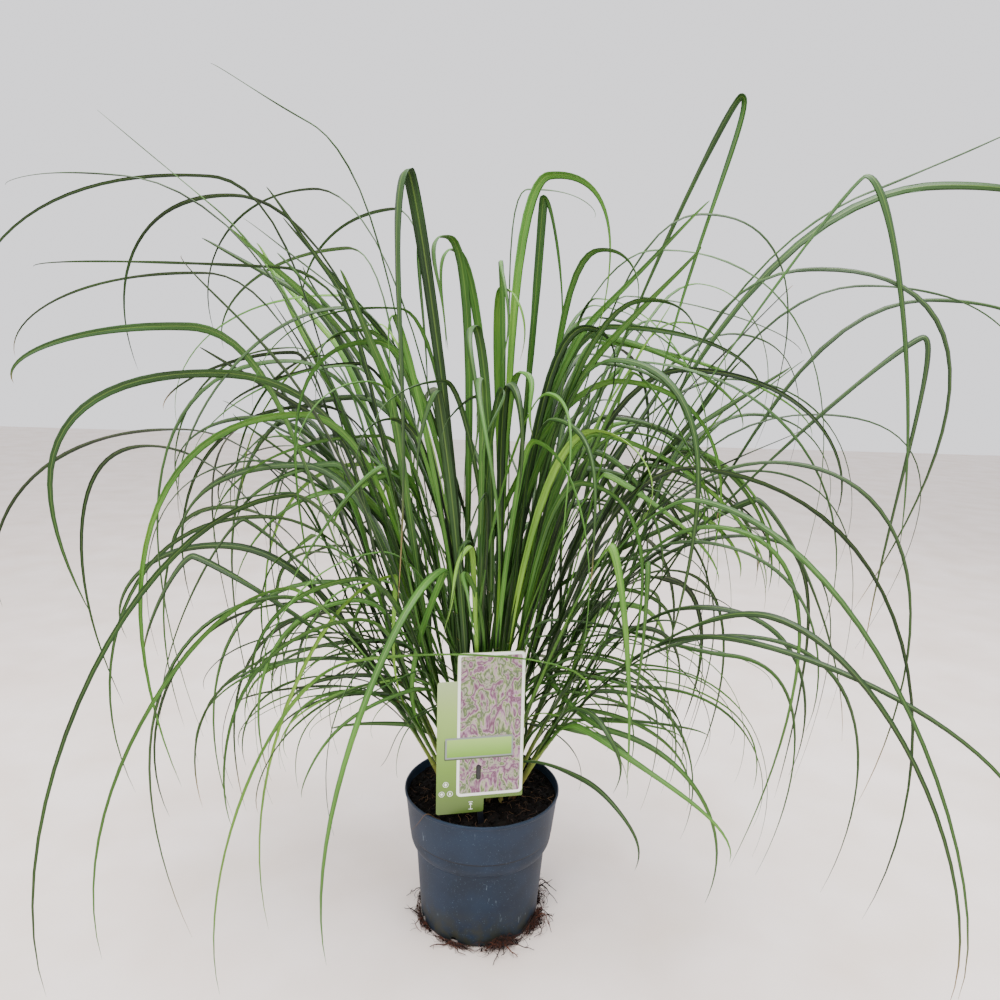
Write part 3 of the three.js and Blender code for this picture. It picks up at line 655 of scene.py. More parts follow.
def grow_stem(index):
    """A stem in its place in the spiral, stood up straighter until it is clear of the label."""
    stem = Shoot()
    stem.index, stem.leaves, stem.refused = index, [], 0
    stem.roll = dice(seed + index * 31)
    share = np.sqrt((index + 0.5) / stem_count)
    stem.turn = index * golden_turn % 360
    stem.foot = around(stem.turn, clump_radius * share, 0)
    stem.foot[1] += clump_back
    stem.foot[2] = soil_height(stem.foot[0], stem.foot[1])
    stem.lean = lean = greatest_lean * share * (0.75 + 0.35 * stem.roll())
    extra = (tallest_stem - shortest_stem) * (1 - 0.75 * share)
    stem.height = shortest_stem + extra * (0.7 + 0.5 * stem.roll())
    upright = 0
    while upright < 1 and not label_clear(stem_runs(stem)):
        stem.lean = lean * (1 - upright)
        upright += 0.15
    return stem


# Leaves seen from the front, as turn, crest reach and height, tip reach and height, width, roll
# and how they bend: an arch evenly, a fold sharply, a slope in a long line, a hook inwards below
# its crest, a wisp hardly at all. The other leaves fill the collars that are left.
seen_leaves = [
    # left side
    (186, 250, 758, 348, 592, 6, 20, "arch"),
    (166, 198, 782, 320, 628, 5, 10, "arch"),
    (203, 180, 812, 262, 846, 3, 0, "wisp"),
    (200, 262, 735, 350, 802, 3, 0, "wisp"),
    (204, 330, 748, 415, 733, 3, 0, "arch"),
    (187, 270, 772, 474, 604, 4, 30, "arch"),
    (196, 205, 690, 410, 678, 5, 20, "arch"),
    (178, 292, 690, 500, 602, 5, 20, "arch"),
    (192, 290, 634, 440, 578, 9, 60, "arch"),
    (200, 262, 592, 374, 372, 9, 65, "hook"),
    (180, 350, 515, 395, 229, 6, 30, "arch"),
    (206, 202, 482, 425, 40, 7, 50, "slope"),
    (182, 228, 447, 371, 145, 6, 40, "arch"),
    (215, 140, 624, 210, 380, 6, 40, "arch"),
    (176, 180, 560, 330, 330, 6, 30, "arch"),
    (160, 240, 620, 400, 420, 5, 10, "arch"),
    (212, 215, 400, 380, 90, 6, 50, "slope"),
    (188, 190, 360, 330, 130, 6, 30, "arch"),
    (172, 150, 330, 300, 60, 6, 30, "arch"),
    (222, 170, 330, 300, 60, 6, 50, "slope"),
    # right side
    (346, 222, 850, 160, 532, 8, -30, "fold"),
    (344, 195, 748, 258, 536, 5, 20, "arch"),
    (330, 330, 758, 382, 466, 8, 30, "fold"),
    (348, 395, 772, 500, 742, 9, 60, "arch"),
    (340, 330, 755, 452, 802, 4, 20, "wisp"),
    (331, 295, 690, 352, 410, 6, 30, "hook"),
    (341, 386, 640, 366, 352, 6, 40, "fold"),
    (352, 350, 690, 490, 602, 5, 20, "arch"),
    (355, 420, 680, 530, 628, 6, 30, "arch"),
    (345, 318, 570, 368, 345, 4, 10, "hook"),
    (328, 230, 456, 328, 306, 5, 20, "arch"),
    (318, 305, 416, 460, 160, 6, 40, "slope"),
    (330, 289, 532, 371, 243, 5, 30, "arch"),
    (320, 292, 388, 490, 280, 6, 30, "arch"),
    (314, 246, 503, 470, 190, 6, 30, "slope"),
    (340, 158, 714, 294, 388, 4, 10, "arch"),
    (331, 149, 252, 250, 98, 6, 40, "arch"),
    (330, 240, 470, 272, 150, 5, 40, "arch"),
    (345, 251, 331, 293, 100, 5, 30, "arch"),
    (336, 280, 366, 350, 132, 5, 30, "arch"),
    (5, 250, 600, 380, 400, 5, 20, "arch"),
    (12, 300, 500, 420, 200, 6, 20, "arch"),
    # front and middle
    (240, 158, 758, 180, 410, 11, 10, "fold"),
    (325, 60, 782, 110, 628, 9, -30, "arch"),
    (310, 50, 764, 72, 592, 9, -30, "fold"),
    (350, 30, 775, 95, 750, 4, 10, "arch"),
    (315, 150, 614, 210, 350, 8, 30, "arch"),
    (312, 190, 440, 206, 270, 6, 20, "arch"),
    (236, 150, 645, 150, 548, 6, 20, "fold"),
    (232, 105, 398, 232, 40, 6, 50, "slope"),
    (250, 120, 420, 160, 372, 5, 20, "arch"),
    (283, 80, 590, 100, 488, 9, 20, "arch"),
    (300, 110, 560, 180, 420, 6, 20, "arch"),
    (262, 90, 640, 130, 520, 8, 10, "arch"),
    (275, 60, 700, 120, 600, 5, 10, "arch"),
    (150, 90, 735, 80, 562, 6, 30, "fold"),
    (150, 130, 768, 256, 640, 5, 20, "arch"),
    (212, 110, 655, 262, 565, 4, 20, "arch"),
    (152, 188, 730, 380, 618, 6, 20, "arch"),
    (230, 165, 589, 230, 500, 5, 10, "arch"),
    (28, 262, 706, 378, 530, 5, 10, "arch"),
    (30, 208, 663, 278, 575, 5, 20, "arch"),
    (45, 160, 678, 300, 625, 5, 10, "arch"),
    (20, 108, 660, 185, 600, 5, 20, "arch"),
    (318, 125, 611, 222, 530, 6, 20, "arch"),
    (2, 186, 655, 232, 545, 4, 20, "arch"),
    (12, 262, 648, 338, 500, 5, 20, "arch"),
    (14, 300, 562, 398, 430, 7, 20, "arch"),
    (40, 140, 580, 128, 500, 6, 10, "fold"),
    (224, 98, 716, 118, 620, 8, 10, "arch"),
    (319, 116, 642, 138, 568, 8, -30, "arch"),
    (244, 122, 582, 144, 496, 10, 10, "fold"),
    (288, 82, 601, 115, 545, 8, 10, "arch"),
    (240, 74, 709, 80, 619, 8, 10, "arch"),
    (225, 146, 634, 192, 556, 6, 20, "arch"),
    (312, 182, 663, 246, 599, 6, -20, "arch"),
    (236, 141, 557, 176, 490, 7, 20, "arch"),
    (308, 155, 553, 207, 483, 8, -20, "arch"),
    (322, 119, 711, 152, 641, 7, -20, "arch"),
    (290, 28, 679, 61, 612, 8, -20, "arch"),
]
# How round each kind bends. A crease is a fold as the finer blade draws it.
bend_of = {"arch": 1, "slope": 0.55, "hook": 1.4, "fold": 0.22, "wisp": 1, "crease": 0.1}


def leaf_curves(stem, share, leaf, turned):
    """Control points of the climb and of the fall, and how many steps each takes when coarse.

    The climb leaves along the stem and comes over level at the crest, and the fall leaves it
    level and ends hanging. The bend says how far each handle reaches.
    """
    turn, crest_reach, crest_height, tip_reach, tip_height, _, _, kind = leaf
    base, along = stem_point(stem, share), stem_direction(stem, share)
    crest = around(turn + turned, crest_reach, crest_height)
    tip = around(turn + turned + 0.35 * turned, tip_reach, max(tip_height, floor_clearance))
    drop = max(crest_height - tip_height, 0)
    outward = around(turn + turned, 1, 0)
    over = (tip - crest) / np.linalg.norm(tip - crest) if kind == "wisp" else outward
    bend = bend_of[kind]
    rise = np.linalg.norm(crest - base)
    spread = np.hypot(crest[0] - base[0], crest[1] - base[1])
    beyond = 0.5 * max(tip_reach - crest_reach, 0) + 0.28 * drop
    before = 0.35 * spread + 0.06 * rise
    climb = (base, base + along * 0.45 * rise, crest - over * bend * before, crest)
    fall = (crest, crest + over * (bend * beyond + 0.02 * rise),
            tip + np.array([0, 0, 0.42 * drop]) + outward * bend * 0.14 * drop, tip)
    rise_steps = 3 if rise > long_leaf else 2
    fall_steps = 5 if np.linalg.norm(tip - crest) > long_leaf else 4
    return climb, fall, rise_steps, fall_steps


def bezier(controls, t):
    """Cubic curve through its first and last control, drawn towards the middle two."""
    a, b, c, d = controls
    t = t[:, None]
    return a * (1 - t) ** 3 + 3 * b * (1 - t) ** 2 * t + 3 * c * (1 - t) * t ** 2 + d * t ** 3


def leaf_line(climb, fall, rise_steps, fall_steps):
    """Even steps up the climb and down the fall, with the crest once."""
    up, down = np.linspace(0, 1, rise_steps + 1), np.linspace(0, 1, fall_steps + 1)
    return np.concatenate([bezier(climb, up), bezier(fall, down)[1:]])


def leaf_width(width, share):
    """Narrow at the collar, widest a third of the way up, then a long taper."""
    swell = np.minimum(share / 0.3, 1)
    return width * (0.55 + 0.45 * swell) * (1 - np.maximum(share - 0.3, 0) / 0.7) ** 0.7


# Turns about the pot that a leaf is tried at, in this order
nudges = (0, 2, -2, 4, -4, 6, -6, 9, -9, 12, -12, 16, -16, 21, -21)


def place_leaf(stem, share, leaf, placed):
    """The leaf turned about the pot by as little as keeps it clear of what is placed."""
    for turned in nudges:
        line = leaf_line(*leaf_curves(stem, share, leaf, turned))
        half = leaf_width(leaf[5], np.linspace(0, 1, len(line))) / 2
        runs = runs_of(stem.index, line, half)
        if clear_of(runs, placed):
            placed[:] = [np.concatenate(pair) for pair in zip(placed, runs)]
            stem.leaves.append((share, (leaf[0] + turned, *leaf[1:]), turned))
            return True
    return False


# What a leaf already borne and a leaf refused count against a stem, in radians
borne_cost, refused_cost = 0.12, 0.2


def stem_for(leaf, stems):
    """The stem with a free collar that already points most nearly along the leaf's rise."""
    aim = around(leaf[0], leaf[1] * 0.42, pot_height + 0.6 * (leaf[2] - pot_height))
    best, least = None, np.inf
    for stem in stems:
        top = stem_point(stem, 1)
        heading = (aim - top) / np.linalg.norm(aim - top)
        miss = np.arccos(np.clip(heading @ stem_direction(stem, 1), -1, 1))
        too_tall = max(top[2] + 60 - leaf[2], 0) / 100
        cost = miss + too_tall + borne_cost * len(stem.leaves) + refused_cost * stem.refused
        if len(stem.leaves) < len(collars) and cost < least:
            best, least = stem, cost
    return best


def filling_leaf(stem, share):
    """Climbs on along its stem's line, and hangs lower on the outer stems."""
    roll = stem.roll
    collar = stem_point(stem, share)
    turn = stem.turn + (roll() - 0.5) * 70
    front = max(np.cos(np.radians(turn - 270)), 0) ** 4
    climb = (150 + 270 * roll()) * (1.1 - 0.35 * stem.lean / greatest_lean)
    lean = np.radians(stem.lean * 1.2 + 5 + 10 * roll())
    crest_reach = np.hypot(collar[0], collar[1]) + climb * np.sin(lean) * (1 - 0.4 * front)
    crest_height = collar[2] + climb * np.cos(lean)
    out = climb * (0.15 + 0.45 * roll()) * (1 - 0.3 * front)
    drop = climb * (0.15 + 1.1 * roll()) * (1 - 0.7 * front)
    tip_height = max(crest_height - drop, 20 + 60 * roll())
    width = 4 + 4.5 * roll()
    twist = (roll() - 0.5) * 110
    kind = "fold" if roll() > 0.88 else "arch"
    return turn, crest_reach, crest_height, crest_reach + out, tip_height, width, twist, kind


# Collars of the inner leaves, and the share below which a collar is low
inner_collars = (0.1, 0.22, 0.46, 0.64)
low_collar = 0.3
inner_tries = 20
# Tallest crest, highest tip and furthest tip that an inner leaf may have, and the gap that the
# high ones leave in the clump's middle
inner_top = 690
highest_tip = 760
inner_reach = 330
middle_gap = 90
# How far the high ones lean at most, and how far all are pulled to the sides
upright_lean = 18
side_pull = 30
# No tip within this turn of straight ahead hangs lower than this
front_spread = 34
front_tip = 345
# Leaves that stand in front of the others, by stem and collar, written as the seen leaves are.
front_leaves = {
    (18, 0.22): (310, 169, 452, 205, 242, 9.5, 28, "fold"),
    (39, 0.22): (319, 189, 436, 186, 268, 6.5, 25, "fold"),
    (39, 0.46): (319, 123, 259, 288, 191, 7.5, 20, "slope"),
    (31, 0.1): (315, 140, 212, 207, 152, 5.5, 20, "arch"),
    (33, 0.64): (243, 93, 415, 260, 114, 8.5, -10, "slope"),
}


def inner_leaf(stem, share, draw):
    """One of the leaves that thicken the clump, drawn to its left and right, where it is fullest.

    Low ones arch over early. High ones fan out and end in an arch, a long slope or a straight wisp.
    """
    collar = stem_point(stem, share)
    low = share < low_collar
    turn = stem.turn + draw.normal(0, 30)
    turn -= side_pull * np.sin(np.radians(2 * turn))
    front = max(np.cos(np.radians(turn - 270)), 0) ** 4
    lean = (stem.lean + draw.uniform(6, 26) if low
            else min(stem.lean, upright_lean) + draw.uniform(-2, 10))
    rise = (inner_top - collar[2]) * (draw.uniform(0.1, 0.34) if low else draw.uniform(0.5, 1))
    climb = rise / np.cos(np.radians(lean))
    crest_reach = np.hypot(collar[0], collar[1]) + climb * np.sin(np.radians(lean)) * (1 - 0.5 * front)
    crest_height = collar[2] + rise
    kind = "arch" if low else draw.choice(["arch", "slope", "wisp"], p=[0.15, 0.5, 0.35])
    if kind == "wisp":
        onward, heading = climb * draw.uniform(0.2, 0.4), np.radians(lean + draw.uniform(14, 44))
        out, tip_height = onward * np.sin(heading), crest_height + onward * np.cos(heading)
    else:
        out = climb * (draw.uniform(0.5, 1.2) if low else draw.uniform(0.25, 0.55)) * (1 - 0.5 * front)
        drop = climb * draw.uniform(0.1, 1.1 if low else 0.5)
        tip_height = max(crest_height - drop, draw.uniform(25, 90))
    width = draw.uniform(3.5, 6.5) if low else draw.uniform(6, 9.5)
    twist = draw.uniform(-45, 45)
    return turn, crest_reach, crest_height, crest_reach + out, tip_height, width, twist, kind


def add_inner_leaves(stem, draw):
    """A leaf at each of the lower collars, drawn again until it is clear of label and pot.

    None hangs down in front of the label. The front leaves take the place of what is drawn.
    """
    for share in inner_collars:
        for _ in range(inner_tries):
            leaf = inner_leaf(stem, share, draw)
            climb, fall, _, _ = leaf_curves(stem, share, leaf, 0)
            line = leaf_line(climb, fall, 8, 8)
            runs = runs_of(stem.index, line, np.full(len(line), leaf[5] / 2))
            over_label = abs(leaf[0] % 360 - 270) < front_spread and leaf[4] < front_tip
            in_gap = share > low_collar and abs(climb[3][0]) < middle_gap
            too_far = leaf[3] > inner_reach or leaf[4] > highest_tip
            if not (over_label or in_gap or too_far) and label_clear(runs) and pot_clear(runs):
                stem.leaves.append((share, front_leaves.get((stem.index, share), leaf), 0))
                break


def grow_stems():
    """All stems with their leaves. One that is too crowded to bear a leaf isn't grown."""
    stems = [grow_stem(index) for index in range(stem_count)]
    placed = [np.concatenate(arrays) for arrays in zip(*map(stem_runs, stems))]
    for leaf in seen_leaves:
        for _ in range(seen_tries):
            stem = stem_for(leaf, stems)
            if place_leaf(stem, collars[-1 - len(stem.leaves)], leaf, placed):
                break
            stem.refused += 1
    for stem in stems:
        for _ in range(fill_tries):
            if len(stem.leaves) == len(collars):
                break
            share = collars[-1 - len(stem.leaves)]
            place_leaf(stem, share, filling_leaf(stem, share), placed)
    return [stem for stem in stems if stem.leaves]


# A blade's section: across as a share of the half width, then how much of the fold and of the
# midrib's depth each corner takes. The first seven are the upper face, from margin to margin.
section_across = np.array([-1, -0.62, -0.25, 0, 0.25, 0.62, 1, 0.62, 0.2, 0, -0.2, -0.62])
section_fold = np.array([0, 0.42, 0.8, 1.05, 0.8, 0.42, 0, 0.42, 0.85, 1, 0.85, 0.42])
section_rib = np.array([0, 0, 0, 0, 0, 0, 0, 0.4, 0.5, 1, 0.5, 0.4])
upper_corners = 7
climb_rows, fall_rows = 16, 24
# How deep a blade starts inside its stem, how far it sways, and its half width at both ends
set_in = 5
slow_sway, quick_sway = 3.5, 2.5
start_half, tip_half = 0.9, 0.05
# How much a blade swells, the most that it folds, the least and the spare midrib, and its ripple
blade_swell = 0.1
deepest_fold = 0.9
least_rib, spare_rib = 0.16, 0.34
ripple_depth = 0.28


def blade_line(stem, share, leaf, turned, level, draw):
    """Points down the blade's middle, and how far along the leaf's line each one is.

    Rows stand closer near the crest, and the line sways slowly along its level direction.
    """
    kind = "crease" if leaf[7] == "fold" else leaf[7]
    drawn = (leaf[0] - turned, *leaf[1:7], kind)
    climb, fall, rise_steps, fall_steps = leaf_curves(stem, share, drawn, turned)
    up_t = 1 - (1 - np.linspace(0, 1, climb_rows)) ** 1.35
    down_t = np.linspace(0, 1, fall_rows)[1:] ** 1.25
    start = climb[0] - stem_direction(stem, share) * set_in
    path = np.concatenate([[start], bezier(climb, up_t), bezier(fall, down_t)])
    along = np.concatenate([[0], up_t * rise_steps, rise_steps + down_t * fall_steps])
    along = along / (rise_steps + fall_steps)
    slow, quick = draw.uniform(-1, 1, 2) * (slow_sway, quick_sway)
    free = np.clip(along / 0.25, 0, 1) * (1 + 1.5 * along ** 2)
    path += (free * (slow * np.sin(5.5 * along) + quick * np.sin(11 * along + 2)))[:, None] * level
    return path, along


def blade(stem, share, leaf, turned, draw):
    """The V section carried along the leaf's line, turned a little more at each step.

    Tags per point: how light the leaf is, how dry it is there, and 1 on its under side.
    """
    width, roll = leaf[5], leaf[6]
    level = around(leaf[0] + 90, 1, 0)
    path, along = blade_line(stem, share, leaf, turned, level, draw)
    length = np.concatenate([[0], np.cumsum(np.linalg.norm(np.diff(path, axis=0), axis=1))])
    tangent = unit(np.gradient(path, length, axis=0))
    across = unit(level - tangent * (tangent @ level)[:, None])
    twist = np.radians(np.clip(1.8 * roll, -80, 80)) * np.minimum(1.9 * along, 1)
    across = across * np.cos(twist)[:, None] + np.cross(tangent, across) * np.sin(twist)[:, None]
    upper = np.cross(across, tangent)
    swell = 1 + blade_swell * np.sin(np.pi * np.minimum(along / 0.65, 1))
    half = leaf_width(width, along) / 2 * swell
    half[0], half[-1] = start_half, tip_half
    fold = np.minimum(half * (0.75 - 0.5 * along), deepest_fold)
    rib = least_rib + spare_rib * half / half.max() * (1 - 0.5 * along)
    wave = np.sin(length / draw.uniform(9, 16) + draw.uniform(0, 6))
    ripple = ripple_depth * wave * half / half.max()
    x = half[:, None] * section_across
    y = -fold[:, None] * section_fold - rib[:, None] * section_rib
    y = y + ripple[:, None] * section_across * np.abs(section_across)
    points = path[:, None] + x[..., None] * across[:, None] + y[..., None] * upper[:, None]
    uv = np.stack(np.broadcast_arrays((section_across + 1) / 2, length[:, None] / 100), axis=-1)
    tags = np.empty(points.shape)
    # The leaf is darker the further out its crest reaches: partly older outer leaves, partly painted
    # shade.
    tags[..., 0] = np.clip(draw.normal(0.55 - 0.55 * min(leaf[1] / 320, 1), 0.24), 0, 1)
    tags[..., 1] = np.clip((along - draw.uniform(0.86, 1.5)) / 0.1, 0, 1)[:, None]
    tags[..., 2] = np.arange(len(section_across)) >= upper_corners
    return points.reshape(-1, 3), tube_faces(*x.shape), uv.reshape(-1, 2), tags.reshape(-1, 3)


stem_sides = 10
# Lips as shares of the stem's height, how far each flares, how long it is, and the step above it
lips = np.array([*inner_collars, *collars])
lip_flare, lip_length, lip_step = 0.28, 0.02, 0.02


def sheathed_stem(stem, draw):
    """Round section carried up the stem, flared at each sheath's lip and a step thinner above it.

    Tags per point: how light the stem is and how far up it the point is.
    """
    beside = np.array([-0.014, -0.005, 0, 0.004])
    shares = np.concatenate([np.linspace(0, 1, 14), (lips[:, None] + beside).ravel()])
    shares = np.unique(np.clip(shares, 0, 1))
    path = np.array([stem_point(stem, share) for share in shares])
    base = stem.foot - stem_direction(stem, 0) * (root_depth - 2)
    path = np.concatenate([[base], path])
    shares = np.concatenate([[0], shares])
    radius = np.interp(shares, [0, 0.55, 1], [stem_radius, stem_radius * 0.85, stem_top_radius])
    past = shares[:, None] - lips
    at_lip = (past > -lip_length) & (past <= 0)
    radius += np.where(at_lip, lip_flare * (1 + past / lip_length), 0).sum(axis=1)
    radius -= lip_step * (past > 0).sum(axis=1)
    points, faces = strand(path, radius, stem_sides)
    half_turn = np.abs(np.linspace(-1, 1, stem_sides, endpoint=False))
    uv = np.stack(np.broadcast_arrays(half_turn, shares[:, None] * stem.height / 100), axis=-1)
    tags = np.zeros((len(path), stem_sides, 3))
    tags[..., 0] = draw.uniform(0, 1)
    tags[..., 1] = shares[:, None]
    return points, faces, uv.reshape(-1, 2), tags.reshape(-1, 3)


hair_count = 7
hair_half = 0.11


def collar_hairs(stem, share, draw):
    """Fringe of short pale hairs where a blade leaves its sheath: thin three-sided spikes."""
    centre, along = stem_point(stem, share), stem_direction(stem, share)
    turn = np.radians(stem.turn + draw.uniform(-80, 80, hair_count))
    out = np.stack([np.cos(turn), np.sin(turn), np.zeros(hair_count)], axis=-1)
    root = centre + out * 1.5
    tip = root + out * draw.uniform(1.0, 2.4, (hair_count, 1))
    tip = tip + along * draw.uniform(1.5, 3.2, (hair_count, 1))
    side = np.cross(out, along) * hair_half
    points = np.stack([root - side, root + side, root + along * 0.2, tip], axis=1).reshape(-1, 3)
    spike = np.array([(0, 2, 1), (0, 1, 3), (1, 2, 3), (2, 0, 3)])
    faces = (spike + 4 * np.arange(hair_count)[:, None, None]).reshape(-1, 3).tolist()
    return points, faces, np.zeros((len(points), 2)), np.tile([0.5, 1, 0], (len(points), 1))


def lay_stops(ramp, stops):
    """Colours of a ramp as positions and hex values, from its start to its end."""
    elements = ramp.color_ramp.elements
    elements.remove(elements[-1])
    for number, (position, code) in enumerate(stops):
        stop = elements.new(position) if number else elements[0]
        stop.position, stop.color = position, colour(code)


# Grass blade: living leaf tissue under a waxy skin, half glossy. Fine ribs run along it and the
# midrib is pale, the wax dulls and blues the under side, and some tips have dried to straw.
leaf_tissue, tree, surface = new_material("living_grass_blade", 0.48, 1.45)
surface.inputs["Specular IOR Level"].default_value = 0.33
tag = add_node(tree, "ShaderNodeAttribute", attribute_name="growth").outputs["Color"]
light, dry, under = add_node(tree, "ShaderNodeSeparateColor", {0: tag}).outputs
uv = add_node(tree, "ShaderNodeUVMap", uv_map="surface").outputs[0]
across_uv = add_node(tree, "ShaderNodeSeparateXYZ", {0: uv}).outputs["X"]
place = add_node(tree, "ShaderNodeTexCoord").outputs["Object"]
long_cells = add_node(tree, "ShaderNodeMapping", {0: uv, "Scale": (0.5, 0.1, 1)}).outputs[0]
mottle = patches(tree, long_cells, 60, 0.3, 0.7)
broad = patches(tree, place, 110, 0.3, 0.7, 2)
tone = light
for part, share in ((mottle, 0.22), (broad, 0.3)):
    tone = add_node(tree, "ShaderNodeMath", {0: part, 1: share, 2: tone},
                    operation="MULTIPLY_ADD").outputs[0]
tone = add_node(tree, "ShaderNodeMath", {0: tone, 1: 0.26}, operation="SUBTRACT")
green = add_node(tree, "ShaderNodeValToRGB", {0: tone.outputs[0]})
lay_stops(green, ((0, "#0f240e"), (0.35, "#264819"), (0.68, "#477727"), (1, "#7aa338")))
# Five ribs across the blade, as a sine of the way across
ribs = add_node(tree, "ShaderNodeMath", {0: across_uv, 1: 2 * np.pi * 5}, operation="MULTIPLY")
ribs = add_node(tree, "ShaderNodeMath", {0: ribs.outputs[0]}, operation="SINE")
rib_line = add_node(tree, "ShaderNodeMapRange", {0: ribs.outputs[0], 1: 0.2, 2: 1, 4: 0.08}).outputs[0]
from_middle = add_node(tree, "ShaderNodeMath", {0: across_uv, 1: 0.5}, operation="SUBTRACT")
from_middle = add_node(tree, "ShaderNodeMath", {0: from_middle.outputs[0]}, operation="ABSOLUTE")
midrib = add_node(tree, "ShaderNodeMapRange", {0: from_middle.outputs[0], 1: 0.07, 2: 0.035, 4: 0.34})
waxed = add_node(tree, "ShaderNodeMath", {0: under, 1: 0.18}, operation="MULTIPLY")
shade = green.outputs[0]
for mask, code in ((rib_line, "#5f8432"),
                   (midrib.outputs[0], "#75933f"),
                   (waxed.outputs[0], "#45622f")):
    shade = add_node(tree, "ShaderNodeMix", {0: mask, 6: shade, 7: colour(code)},
                     data_type="RGBA").outputs[2]
straw = add_node(tree, "ShaderNodeMix", {0: mottle, 6: colour("#6a5330"), 7: colour("#a58a58")},
                 data_type="RGBA")
dried = add_node(tree, "ShaderNodeMix", {0: dry, 6: shade, 7: straw.outputs[2]}, data_type="RGBA")
tree.links.new(dried.outputs[2], surface.inputs["Base Color"])
ridged = add_node(tree, "ShaderNodeBump", {"Height": rib_line, "Distance": 0.00012, "Strength": 0.4})
tree.links.new(ridged.outputs[0], surface.inputs["Normal"])

# Leaf sheath: the lower part of the same leaf, rolled tight round the culm. It is brown in the
# soil's shade, straw-yellow just above it, and turns yellow-green and then green further up.
sheath, tree, surface = new_material("rolled_leaf_sheath", 0.45, 1.45)
tag = add_node(tree, "ShaderNodeAttribute", attribute_name="growth").outputs["Color"]
light, up_stem, _ = add_node(tree, "ShaderNodeSeparateColor", {0: tag}).outputs
uv = add_node(tree, "ShaderNodeUVMap", uv_map="surface").outputs[0]
drawn_up = add_node(tree, "ShaderNodeMapping", {0: uv, "Scale": (0.9, 0.07, 1)}).outputs[0]
line = patches(tree, drawn_up, 60, 0.3, 0.7, 2)
shade = up_stem
for part, share in ((line, 0.13), (light, 0.18)):
    shade = add_node(tree, "ShaderNodeMath", {0: part, 1: share, 2: shade},
                     operation="MULTIPLY_ADD").outputs[0]
shade = add_node(tree, "ShaderNodeMath", {0: shade, 1: 0.14}, operation="SUBTRACT")
rising = add_node(tree, "ShaderNodeValToRGB", {0: shade.outputs[0]})
lay_stops(rising, ((0, "#4f3721"), (0.08, "#7d6f3d"), (0.26, "#748235"), (0.6, "#3f601d"),
                   (1, "#1e3f0f")))
tree.links.new(rising.outputs[0], surface.inputs["Base Color"])
lined = add_node(tree, "ShaderNodeBump", {"Height": line, "Distance": 0.00015, "Strength": 0.5})
tree.links.new(lined.outputs[0], surface.inputs["Normal"])

draw = np.random.default_rng(seed + 7)
stems = grow_stems()
for number, stem in enumerate(stems, 1):
    add_inner_leaves(stem, draw)
    shapes = [sheathed_stem(stem, draw)]
    sheath_faces = len(shapes[0][1])
    for share, leaf, turned in stem.leaves:
        shapes.append(blade(stem, share, leaf, turned, draw))
        shapes.append(collar_hairs(stem, share, draw))
    points, faces, _ = gather([shape[:2] for shape in shapes])
    shoot = put_mesh(f"leafy_stem_{number:02d}", points, faces, [leaf_tissue, sheath],
                     uv=np.concatenate([shape[2] for shape in shapes]),
                     tags=np.concatenate([shape[3] for shape in shapes]),
                     face_materials=np.arange(len(faces)) < sheath_faces)
    fasten(shoot, "leaves", f"stem_{number:02d}")


# ---- Old culm stubs --------------------------------------------------------------------------
# What was left when last year's growth was cut back: short dead culms, split and bleached to
# straw, standing between the living stems with their feet in the soil.

stub_count = 26
stub_sides = 7


def old_stub(draw):
    """Straight tapering culm, leaning a little, with a narrowed split end."""
    turn, reach = draw.uniform(0, 360), (clump_radius + 5) * np.sqrt(draw.uniform())
    foot = around(turn, reach, 0) + (0, clump_back, 0)
    foot[2] = soil_height(foot[0], foot[1]) - 4
    height, radius = draw.uniform(12, 44), draw.uniform(0.9, 1.7)
    lean = around(turn + draw.normal(0, 40), np.tan(np.radians(draw.uniform(2, 28))), 1)
    taper = np.array([1, 0.97, 0.95, 0.93, 0.9, 0.88, 0.5])
    step = np.linspace(0, 1, len(taper))
    path = foot + lean * (height * step)[:, None]
    path += np.sin(4 * step + draw.uniform(0, 6))[:, None] * (0.5, 0.4, 0)
    return strand(path, radius * taper, stub_sides)


# Dead grass culm: hollow straw, dull, grey-brown where the wet has stained its foot.
dead_culm, tree, surface = new_material("weathered_dead_culm", 0.75, 1.45)
place = add_node(tree, "ShaderNodeTexCoord").outputs["Object"]
tag = add_node(tree, "ShaderNodeAttribute", attribute_name="growth").outputs["Color"]
drawn_up = add_node(tree, "ShaderNodeMapping", {0: place, "Scale": (1, 1, 0.12)}).outputs[0]
bleached = add_node(tree, "ShaderNodeMix", {0: tag, 6: colour("#2b1a10"), 7: colour("#8d7245")},
                    data_type="RGBA")
stained = add_node(tree, "ShaderNodeMix", {0: patches(tree, drawn_up, 1.5, 0.45, 0.65),
                                           6: bleached.outputs[2], 7: colour("#1a100a")},
                   data_type="RGBA")
tree.links.new(stained.outputs[2], surface.inputs["Base Color"])

points, faces, owner = gather([old_stub(draw) for _ in range(stub_count)])
tones = draw.uniform(0, 1, stub_count)
stubs = put_mesh("old_culm_stubs", points, faces, [dead_culm], tags=tones[owner][:, None])
fasten(stubs, "leaves")


# ---- Label -----------------------------------------------------------------------------------
# A die-cut card of printed polypropylene: a stepped green sheet with a white-edged picture panel
# and a blank name band across it. The print is plain and generic, with no words on it.


